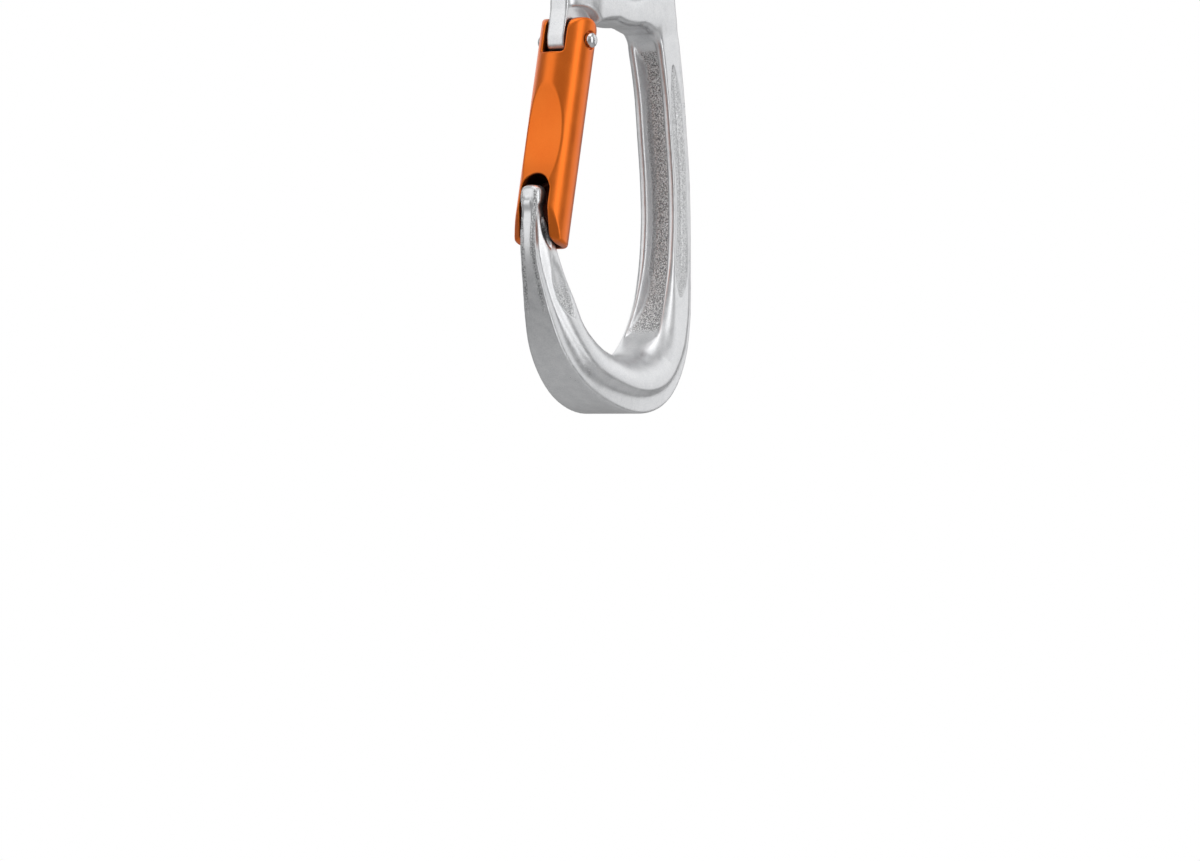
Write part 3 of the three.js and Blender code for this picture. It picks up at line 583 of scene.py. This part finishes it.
def strap_line(spacing=0.4):
    """The strap's closed middle line as (y, z) points, evenly spaced."""
    top, bottom = LOOP_MIDDLES
    layer = STRAP_THICKNESS / 2 + 0.02
    t = np.linspace(0, 1, 30)
    ease = t * t * (3 - 2 * t)
    upper, lower = UPPER_LOOP, LOWER_LOOP
    a = np.linspace(0, math.pi, 40)
    over = np.stack([upper[0] * np.cos(a), top + upper[1] * np.sin(a)], 1)
    down = np.stack([-upper[0] + (upper[0] - layer) * ease, top - MERGE * t], 1)
    out = np.stack([-layer - (lower[0] - layer) * ease, bottom + MERGE * (1 - t)], 1)
    under = np.stack([-lower[0] * np.cos(a), bottom - lower[1] * np.sin(a)], 1)
    half = np.vstack([over, down[1:], out])
    back = np.vstack([under[1:], (out * (-1, 1))[::-1][1:], (down * (-1, 1))[::-1]])
    line = np.vstack([half, back])
    line = line[np.concatenate([[True], np.linalg.norm(np.diff(line, axis=0), axis=1) > 1e-6])]
    closed = np.vstack([line, line[:1]])
    s = np.concatenate([[0], np.cumsum(np.linalg.norm(np.diff(closed, axis=0), axis=1))])
    at = np.linspace(0, s[-1], int(s[-1] / spacing) + 1)[:-1]
    return np.stack([np.interp(at, s, closed[:, k]) for k in (0, 1)], 1), at


def strap_normals(line):
    """Outward directions along the strap's line."""
    tangent = np.roll(line, -1, 0) - np.roll(line, 1, 0)
    tangent /= np.linalg.norm(tangent, axis=1)[:, None]
    return np.stack([tangent[:, 1], -tangent[:, 0]], 1)


def cupping(x, z):
    """How far the strap's edges lift on the bow and drop in the eye."""
    top, bottom = LOOP_MIDDLES
    fade = 16
    lift = BOW_RADIUS - np.sqrt(BOW_RADIUS ** 2 - x * x)
    drop = EYE_RADIUS - np.sqrt(EYE_RADIUS ** 2 - x * x)
    return lift * step01(z, top - fade, top) - drop * (1 - step01(z, bottom, bottom + fade))


def strap_section():
    """Half-round edged section as (across, outwards) points."""
    edge, half = 0.95, STRAP_THICKNESS / 2
    across = np.linspace(edge - STRAP_WIDTH / 2, STRAP_WIDTH / 2 - edge, 25)
    turn = np.linspace(math.pi / 2, -math.pi / 2, 9)[1:-1]
    right = np.stack([STRAP_WIDTH / 2 - edge + edge * np.cos(turn), half * np.sin(turn)], 1)
    top = np.stack([across, np.full(25, half)], 1)
    return np.vstack([top, right, (top * (1, -1))[::-1], (right * (-1, 1))[::-1]])


def sling_object(material):
    """The woven strap, swept round its line, with a fine rib for each column of the weave."""
    line, along = strap_line()
    normal = strap_normals(line)
    section = strap_section()
    x = np.broadcast_to(section[:, 0], (len(line), len(section)))
    ribs = 0.05 * np.abs(np.sin(np.pi * section[:, 0] / WEAVE_RIB)) * np.sign(section[:, 1])
    outwards = (section[:, 1] + ribs)[None, :, None] * normal[:, None, :]
    yz = line[:, None, :] + outwards
    z = yz[..., 1] + cupping(x, line[:, 1][:, None])
    verts = np.stack([x, yz[..., 0], z], -1).reshape(-1, 3)
    attributes = {"across": verts[:, 0] + STRAP_WIDTH / 2, "along": np.repeat(along, len(section))}
    faces = tube_faces(len(line), len(section), closed=True)[:, ::-1]
    return mesh_object("sling_strap_woven", verts * MM, faces, None, material, attributes)


def thread_tube(path, radius, sides=6, across=(0.0, 1.0, 0.0)):
    """A closed-ended tube along points. across is any direction that the path never runs in."""
    tangent = np.gradient(path, axis=0)
    tangent /= np.linalg.norm(tangent, axis=1)[:, None]
    side = np.cross(tangent, across)
    side /= np.linalg.norm(side, axis=1)[:, None]
    up = np.cross(side, tangent)
    a = np.linspace(0, 2 * math.pi, sides, endpoint=False)
    girth = np.full(len(path), radius)
    girth[0] = girth[-1] = 0.02
    ring = np.cos(a)[None, :, None] * side[:, None, :] + np.sin(a)[None, :, None] * up[:, None, :]
    verts = (path[:, None, :] + girth[:, None, None] * ring).reshape(-1, 3)
    return verts, tube_faces(len(path), sides)


def bartack_object(name, z, side, material):
    """Dense zigzag stitching: columns of slanting stitches that dip into the strap at both ends."""
    columns, height, width, pitch, radius = 5, 11.0, 10.0, 0.46, 0.2
    surface = STRAP_THICKNESS + 0.06
    stitches = int(height / pitch) * 2
    column_width = width / columns
    all_verts, all_faces, count = [], [], 0
    for column in range(columns):
        middle = (column - (columns - 1) / 2) * column_width
        k = np.arange(stitches * 6 + 1) / 6
        swing = np.abs((k % 2) - 1) * 2 - 1
        x = middle + swing * (column_width / 2 - 0.12)
        lift = 0.28 * (1 - swing ** 4) + 0.02 * np.sin(k * 2.3 + column)
        path = np.stack([x, side * (surface + lift), z - height / 2 + k / stitches * height], 1)
        verts, faces = thread_tube(path, radius)
        all_verts.append(verts)
        all_faces.append(faces + count)
        count += len(verts)
    return mesh_object(name, np.vstack(all_verts) * MM, np.vstack(all_faces), None, material)


def label_object(material):
    """A folded tag: a soft-edged slab, thicker along its hemmed ends, with a seam line inside each edge."""
    width, height, middle = 11.0, 22.0, LABEL_MIDDLE
    u = np.linspace(-1, 1, 67)
    v = np.linspace(-1, 1, 133)
    uu, vv = np.meshgrid(u, v, indexing="ij")
    x, z = uu * width / 2, middle + vv * height / 2
    inside = np.minimum((1 - np.abs(uu)) * width / 2, (1 - np.abs(vv)) * height / 2)
    edge = np.sqrt(np.clip(1 - (1 - np.clip(inside / 0.35, 0, 1)) ** 2, 0, 1))
    hem = step01(np.abs(vv) * height / 2, height / 2 - 1.9, height / 2 - 1.6)
    seam = np.exp(-((inside - 1.0) / 0.22) ** 2)
    front = 0.02 + edge * (0.34 + 0.12 * hem - 0.13 * seam)
    y = -(STRAP_THICKNESS + 0.05) - front
    shell = np.stack([x, y, z], -1)
    rear = np.stack([x, np.full_like(y, -(STRAP_THICKNESS + 0.05)), z], -1)
    verts = np.concatenate([shell.reshape(-1, 3), rear.reshape(-1, 3)])
    n, m = uu.shape
    i, j = np.meshgrid(np.arange(n - 1), np.arange(m - 1), indexing="ij")
    a = (i * m + j).ravel()
    quads = np.stack([a, a + m, a + m + 1, a + 1], 1)
    rim = np.concatenate([np.arange(n) * m, (n - 1) * m + np.arange(1, m),
                          np.arange(n - 2, -1, -1) * m + m - 1, np.arange(m - 2, 0, -1)])
    after = np.roll(rim, -1)
    sides = np.stack([rim, rim + n * m, after + n * m, after], 1)
    return mesh_object("sling_label_sewn", verts * MM, np.vstack([quads, quads[:, ::-1] + n * m, sides]),
                       None, material)


# ---------------------------------------------------------------- springs

SPRING_START = 3.95  # below the hinge slot's floor
SPRING_LENGTH = 8.6
SPRING_TURNS = 7
SPRING_RADIUS = 1.8  # of the wire's middle line
SPRING_WIRE = 0.5


def spring_object(name, gate, gate_at, material):
    """A coil spring with closed end coils, and its seated and its plunger end as points in metres."""
    top = -(gate["slot"][1] + SPRING_START)
    bottom = top - SPRING_LENGTH
    turn = np.linspace(0, SPRING_TURNS, SPRING_TURNS * 40 + 1)
    closed = 1.05 * SPRING_WIRE
    z = np.interp(turn, (0, 1, SPRING_TURNS - 1, SPRING_TURNS), (top, top - closed, bottom + closed, bottom))
    angle = 2 * math.pi * turn
    path = np.stack([SPRING_RADIUS * np.cos(angle), SPRING_RADIUS * np.sin(angle), z], 1)
    verts, faces = thread_tube(path, SPRING_WIRE / 2, 12, (0.0, 0.0, 1.0))
    placed = verts @ np.array(gate_at.to_3x3()).T + np.array(gate_at.translation)
    coil = mesh_object(name, placed * MM, faces, None, material)
    return coil, MM * (gate_at @ Vector((0, 0, bottom))), MM * (gate_at @ Vector((0, 0, top)))


# ---------------------------------------------------------------- camera and light

def add_camera():
    """A level view of the rope end, from 32 degrees round from the gate side."""
    turn = math.radians(32)
    aside, below_eye = 3.187, 105.2
    back = Vector((-math.cos(turn), -math.sin(turn), 0))
    right = Vector((math.sin(turn), -math.cos(turn), 0))
    data = bpy.data.cameras.new("camera")
    data.lens, data.sensor_width = 136.5, 36
    cam = bpy.data.objects.new("camera", data)
    cam.location = back - right * aside * MM + Vector((0, 0, (EYE_Z - below_eye) * MM))
    cam.rotation_mode = "QUATERNION"
    cam.rotation_quaternion = (-back).to_track_quat("-Z", "Y")
    bpy.context.scene.collection.objects.link(cam)
    bpy.context.scene.camera = cam


def add_softbox(name, bearing, rise, distance, size, radiance):
    """A softbox that faces the connector: bearing in degrees from +X towards +Y, rise in metres."""
    middle = Vector((0, 0, EYE_Z * MM))
    data = bpy.data.lights.new(name, "AREA")
    data.shape, data.size, data.size_y = "RECTANGLE", size[0], size[1]
    data.energy = radiance * math.pi * size[0] * size[1]
    light = bpy.data.objects.new(name, data)
    turn = math.radians(bearing)
    light.location = middle + Vector((distance * math.cos(turn), distance * math.sin(turn), rise))
    light.rotation_mode = "QUATERNION"
    light.rotation_quaternion = (middle - light.location).to_track_quat("-Z", "Y")
    bpy.context.scene.collection.objects.link(light)


def studio():
    """Pale room: white to the camera, with a soft grey gradient for what the metal mirrors."""
    world = bpy.data.worlds.new("studio")
    world.use_nodes = True
    tree = world.node_tree
    seen = tree.nodes["Background"]
    seen.inputs[0].default_value = (1, 1, 1, 1)
    seen.inputs[1].default_value = 1.0
    where = tree.nodes.new("ShaderNodeTexCoord").outputs["Generated"]
    split = tree.nodes.new("ShaderNodeSeparateXYZ")
    tree.links.new(where, split.inputs[0])
    ramp = tree.nodes.new("ShaderNodeMapRange")
    for key, value in (("From Min", -0.6), ("From Max", 0.7), ("To Min", 0.08), ("To Max", 0.62)):
        ramp.inputs[key].default_value = value
    tree.links.new(split.outputs["Z"], ramp.inputs["Value"])
    lit = tree.nodes.new("ShaderNodeBackground")
    tree.links.new(ramp.outputs[0], lit.inputs[1])
    rays = tree.nodes.new("ShaderNodeLightPath")
    choose = tree.nodes.new("ShaderNodeMixShader")
    tree.links.new(rays.outputs["Is Camera Ray"], choose.inputs[0])
    tree.links.new(lit.outputs[0], choose.inputs[1])
    tree.links.new(seen.outputs[0], choose.inputs[2])
    tree.links.new(choose.outputs[0], tree.nodes["World Output"].inputs[0])
    bpy.context.scene.world = world
    bpy.context.scene.view_settings.view_transform = "Standard"
    add_softbox("left", 150, 0.3, 1.2, (1.0, 1.3), 0.77)
    add_softbox("right_strip", -96, 0.1, 1.15, (0.52, 1.5), 1.5)
    add_softbox("right_rear", -30, 0.25, 1.3, (1.1, 1.5), 0.7)
    add_softbox("rear", 60, 0.3, 1.3, (1.0, 1.3), 0.7)
    add_softbox("overhead", -150, 0.95, 0.15, (0.9, 0.9), 1.3)


# ---------------------------------------------------------------- materials

class Nodes:
    """A material's nodes, with short helpers to wire them."""

    def __init__(self, name):
        self.material = bpy.data.materials.new(name)
        self.material.use_nodes = True
        self.tree = self.material.node_tree
        self.shader = self.tree.nodes["Principled BSDF"]

    def add(self, kind, settings=None, **inputs):
        node = self.tree.nodes.new(kind)
        for key, value in (settings or {}).items():
            setattr(node, key, value)
        for key, value in inputs.items():
            self.put(node, key.replace("_", " "), value)
        return node

    def fill(self, socket, value):
        if isinstance(value, bpy.types.NodeSocket):
            self.tree.links.new(value, socket)
        else:
            socket.default_value = value

    def put(self, node, key, value):
        self.fill(node.inputs[int(key)] if key.isdigit() else node.inputs[key], value)

    def set(self, key, value):
        self.put(self.shader, key, value)

    def coordinates(self, stretch=(1, 1, 1)):
        where = self.add("ShaderNodeTexCoord").outputs["Object"]
        return self.add("ShaderNodeMapping", Vector=where, Scale=stretch).outputs[0]

    def noise(self, scale, detail=3, rough=0.6, where=None):
        return self.add("ShaderNodeTexNoise", Vector=where or self.coordinates(), Scale=scale,
                        Detail=detail, Roughness=rough).outputs["Fac"]

    def math(self, kind, a, b=0.0, c=0.0):
        node = self.add("ShaderNodeMath", {"operation": kind})
        for k, value in enumerate((a, b, c)):
            self.put(node, str(k), value)
        return node.outputs[0]

    def ranged(self, value, lo, hi, to_lo, to_hi):
        node = self.add("ShaderNodeMapRange")
        self.put(node, "Value", value)
        for key, limit in (("From Min", lo), ("From Max", hi), ("To Min", to_lo), ("To Max", to_hi)):
            self.put(node, key, limit)
        return node.outputs[0]

    def mix(self, share, a, b):
        node = self.add("ShaderNodeMix", {"data_type": "RGBA"})
        values = {"Factor_Float": share, "A_Color": a, "B_Color": b}
        for socket in node.inputs:
            if socket.identifier in values:
                self.fill(socket, values[socket.identifier])
        return next(o for o in node.outputs if o.identifier == "Result_Color")

    def average(self, a, b, share=0.5):
        """a and b weighed together, with share for a."""
        return self.math("ADD", self.math("MULTIPLY", a, share), self.math("MULTIPLY", b, 1 - share))

    def bump(self, height, distance, strength=1.0, normal=None):
        node = self.add("ShaderNodeBump", Height=height, Distance=distance, Strength=strength)
        if normal:
            self.put(node, "Normal", normal)
        return node.outputs[0]

    def attribute(self, name):
        return self.add("ShaderNodeAttribute", {"attribute_name": name}).outputs["Fac"]


def forged_metal():
    """Tumbled forged aluminium: fine bright grain, coarse and speckled where it was shot-blasted, and
    coloured darker there as painted shade in the channel floor, side panels and grooves.
    """
    n = Nodes("forged_aluminium")
    n.set("Metallic", 1.0)
    rough = n.attribute("rough")
    grain = n.noise(3200, 3, 0.7)
    flow = n.noise(420, 4, 0.65)
    broad = n.noise(60, 2, 0.5)
    pits = n.ranged(n.noise(1500, 2, 0.5), 0.36, 0.30, 0.0, 1.0)
    tone = n.ranged(n.average(grain, flow), 0.35, 0.65, 0.0, 1.0)
    bright = n.mix(tone, (0.66, 0.67, 0.685, 1), (0.83, 0.835, 0.845, 1))
    speckle = n.noise(2900, 3, 0.7)
    # Painted shade with blast texture: a darker speckled colour where 'rough' is set.
    blasted_and_shaded = n.mix(n.ranged(speckle, 0.4, 0.6, 0.0, 1.0), (0.24, 0.245, 0.25, 1), (0.95, 0.955, 0.96, 1))
    n.set("Base Color", n.mix(rough, bright, blasted_and_shaded))
    smooth = n.ranged(n.average(flow, broad, 0.6), 0.35, 0.65, 0.27, 0.4)
    n.set("Roughness", n.math("ADD", smooth, n.math("MULTIPLY", rough, 0.22)))
    fine = n.bump(grain, 0.00001, 0.55)
    dents = n.bump(flow, 0.00005, 0.35, fine)
    holes = n.bump(n.math("MULTIPLY", pits, -1.0), 0.00002, 0.5, dents)
    blasted = n.math("MULTIPLY", rough, speckle)
    n.set("Normal", n.bump(blasted, 0.00022, 0.9, holes))
    return n.material


def anodised_metal():
    """Orange anodised bar, faintly streaked by turning, with painted shade near-black inside its slots."""
    n = Nodes("orange_anodised")
    n.set("Metallic", 0.82)
    grain = n.noise(5200, 3, 0.7)
    broad = n.noise(140, 3, 0.5)
    tone = n.ranged(n.average(grain, broad, 0.4), 0.35, 0.65, 0.0, 1.0)
    shell = n.mix(tone, (0.8, 0.155, 0.014, 1), (0.9, 0.2, 0.022, 1))
    # Painted shade: near-black inside the slots and bore, where 'rough' is set.
    n.set("Base Color", n.mix(n.attribute("rough"), shell, (0.05, 0.012, 0.006, 1)))
    n.set("Roughness", n.ranged(broad, 0.3, 0.7, 0.27, 0.36))
    turned = n.noise(900, 2, 0.5, n.coordinates((0.15, 0.15, 3)))
    n.set("Normal", n.bump(grain, 0.000006, 0.5, n.bump(turned, 0.00001, 0.2)))
    return n.material


def polished_steel(name="polished_steel", low=0.14, high=0.26):
    """Bright steel with fine scratches. low and high are its roughness."""
    n = Nodes(name)
    n.set("Metallic", 1.0)
    scratches = n.noise(1200, 5, 0.7, n.coordinates((0.3, 1, 1)))
    broad = n.noise(350, 2, 0.5)
    n.set("Base Color", n.mix(broad, (0.6, 0.61, 0.62, 1), (0.75, 0.755, 0.76, 1)))
    n.set("Roughness", n.ranged(scratches, 0.3, 0.7, low, high))
    n.set("Normal", n.bump(scratches, 0.00001, 0.3))
    return n.material


def woven_webbing():
    """Herringbone webbing. 'across' and 'along' are millimetres on the strap."""
    n = Nodes("woven_webbing")
    across, along = n.attribute("across"), n.attribute("along")
    rib, pitch = WEAVE_RIB, 0.95
    column = n.math("FLOOR", n.math("DIVIDE", across, rib))
    lean = n.math("SUBTRACT", n.math("MULTIPLY", n.math("FLOORED_MODULO", column, 2.0), 2.0), 1.0)
    inside = n.math("SUBTRACT", n.math("DIVIDE", across, rib), column)
    slant = n.math("MULTIPLY", n.math("MULTIPLY", inside, lean), 0.9)
    phase = n.math("ADD", n.math("MULTIPLY", along, 1 / pitch), slant)
    yarn = n.math("ABSOLUTE", n.math("SINE", n.math("MULTIPLY", phase, math.pi)))
    valley = n.math("SINE", n.math("MULTIPLY", inside, math.pi))
    height = n.math("MULTIPLY", n.math("POWER", yarn, 0.6), n.math("POWER", valley, 0.45))
    fibres = n.noise(5200, 3, 0.7)
    worn = n.noise(230, 3, 0.6)
    from_middle = n.math("ABSOLUTE", n.math("SUBTRACT", across, STRAP_WIDTH / 2))
    edge = n.ranged(from_middle, 4.5, 4.75, 0.0, 1.0)
    rim = n.ranged(from_middle, 6.05, 6.3, 0.0, 1.0)
    stripe = n.math("SUBTRACT", edge, rim)
    # Painted shade: each yarn's colour darkens down into the weave's valleys.
    body = n.mix(n.ranged(height, 0.2, 1.0, 0.0, 1.0), (0.012, 0.013, 0.016, 1), (0.05, 0.054, 0.062, 1))
    line = n.mix(n.ranged(height, 0.2, 1.0, 0.0, 1.0), (0.32, 0.07, 0.01, 1), (0.75, 0.19, 0.03, 1))
    cloth = n.mix(stripe, body, line)
    n.set("Base Color", n.mix(n.ranged(worn, 0.35, 0.7, 0.0, 0.22), cloth, (0.16, 0.16, 0.17, 1)))
    n.set("Roughness", n.ranged(fibres, 0.3, 0.7, 0.72, 0.9))
    n.set("Sheen Weight", 0.25)
    n.set("Sheen Roughness", 0.4)
    n.set("Normal", n.bump(fibres, 0.00002, 0.4, n.bump(height, 0.00022, 0.9)))
    return n.material


def sewing_thread():
    """Orange twisted thread."""
    n = Nodes("sewing_thread")
    twist = n.noise(2600, 2, 0.5, n.coordinates((1, 1, 0.4)))
    light = n.ranged(twist, 0.35, 0.65, 0.0, 1.0)
    n.set("Base Color", n.mix(light, (0.55, 0.11, 0.012, 1), (0.85, 0.22, 0.03, 1)))
    n.set("Roughness", n.ranged(twist, 0.3, 0.7, 0.45, 0.62))
    n.set("Sheen Weight", 0.3)
    n.set("Normal", n.bump(twist, 0.00004, 0.6))
    return n.material


def woven_label():
    """Pale tag of fine crossed threads."""
    n = Nodes("woven_label")
    warp = n.noise(2400, 2, 0.5, n.coordinates((6, 1, 0.3)))
    weft = n.noise(2400, 2, 0.5, n.coordinates((0.3, 1, 6)))
    weave = n.math("MULTIPLY", warp, weft)
    light = n.ranged(weave, 0.1, 0.4, 0.0, 1.0)
    n.set("Base Color", n.mix(light, (0.5, 0.5, 0.49, 1), (0.74, 0.74, 0.72, 1)))
    n.set("Roughness", n.ranged(weave, 0.1, 0.4, 0.6, 0.8))
    n.set("Normal", n.bump(weave, 0.00005, 0.6))
    return n.material


def pale_floor():
    """Matt floor that runs out into the white background."""
    n = Nodes("pale_floor")
    n.set("Base Color", n.mix(n.noise(3, 3, 0.5), (0.6, 0.6, 0.6, 1), (0.64, 0.64, 0.64, 1)))
    n.set("Roughness", 0.9)
    where = n.add("ShaderNodeTexCoord").outputs["Object"]
    distance = n.add("ShaderNodeVectorMath", {"operation": "LENGTH"})
    n.put(distance, "0", where)
    fade = n.ranged(distance.outputs["Value"], 1.1, 2.6, 0.0, 1.0)
    seen = n.add("ShaderNodeLightPath").outputs["Is Camera Ray"]
    glow = n.add("ShaderNodeEmission", Color=(1, 1, 1, 1), Strength=1.0)
    blend = n.add("ShaderNodeMixShader")
    n.put(blend, "0", n.math("MULTIPLY", fade, seen))
    n.put(blend, "1", n.shader.outputs[0])
    n.put(blend, "2", glow.outputs[0])
    n.tree.links.new(blend.outputs[0], n.tree.nodes["Material Output"].inputs[0])
    return n.material


# ---------------------------------------------------------------- assembly

metal = forged_metal()
orange = anodised_metal()
steel = polished_steel()

# The bolt-end frame is set out basket down, and hung the other way up. The steps are of the samples.
rope_place = Matrix.Translation((0, 0, EYE_Z))
bolt_place = Matrix.Rotation(math.pi, 4, "X")
ROPE_STEP, BOLT_STEP, GATE_STEP = 0.3, 0.4, 0.22
for end, place, surface, step, gate, rivet in (
        ("rope", rope_place, rope_frame_surface, ROPE_STEP, ROPE_GATE, ROPE_RIVET),
        ("bolt", bolt_place, bolt_frame_surface, BOLT_STEP, BOLT_GATE, BOLT_RIVET)):
    forged = skin_object(f"{end}_frame_forged", *surface(step), place, metal)
    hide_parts(f"{end}_frame")
    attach(forged, f"{end}_frame")
    gate_at = gate_place(rivet, gate["tilt"], place)
    turned = skin_object(f"{end}_gate_turned", *gate_surface(gate, GATE_STEP), gate_at, orange)
    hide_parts(f"{end}_gate")
    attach(turned, f"{end}_gate")
    verts, faces = rivet_mesh(gate["radius"])
    moved = verts @ np.array(gate_at.to_3x3()).T + np.array(gate_at.translation)
    pin = mesh_object(f"{end}_gate_rivet_domed", moved * MM, faces, None, steel)
    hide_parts(f"{end}_gate_rivet")
    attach(pin, f"{end}_gate")

# The sling, its stitching and its tag.
strap = sling_object(woven_webbing())
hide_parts("sling_webbing")
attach(strap, "sling")
thread = sewing_thread()
for place_name, middle in zip(("upper", "lower"), STITCH_MIDDLES):
    for face_name, side in (("front", -1), ("back", 1)):
        tack = bartack_object(f"{place_name}_bartack_{face_name}_zigzag", middle, side, thread)
        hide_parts(f"{place_name}_bartack_{face_name}")
        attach(tack, "sling")
tag = label_object(woven_label())
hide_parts("sling_label")
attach(tag, "sling")

# The plungers keep their CAD shape. Each spring is a coil of fixed length set in its gate's bore.
spring_steel = polished_steel("spring_steel", 0.22, 0.36)
for end, place, gate, rivet in (
        ("rope", rope_place, ROPE_GATE, ROPE_RIVET),
        ("bolt", bolt_place, BOLT_GATE, BOLT_RIVET)):
    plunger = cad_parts[f"{end}_gate_plunger"]
    plunger.data.materials.clear()
    plunger.data.materials.append(steel)
    gate_at = gate_place(rivet, gate["tilt"], place)
    coil, seat, head = spring_object(f"{end}_gate_spring_coiled", gate, gate_at, spring_steel)
    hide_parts(f"{end}_gate_spring")
    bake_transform(coil)


FLOOR_HALF, FLOOR_Z = 6, -1.1  # metres
corners = [(FLOOR_HALF * a, FLOOR_HALF * b, FLOOR_Z) for a, b in ((-1, -1), (1, -1), (1, 1), (-1, 1))]
floor = mesh_object("floor", corners, [(0, 1, 2, 3)], None, pale_floor())
add_camera()
studio()
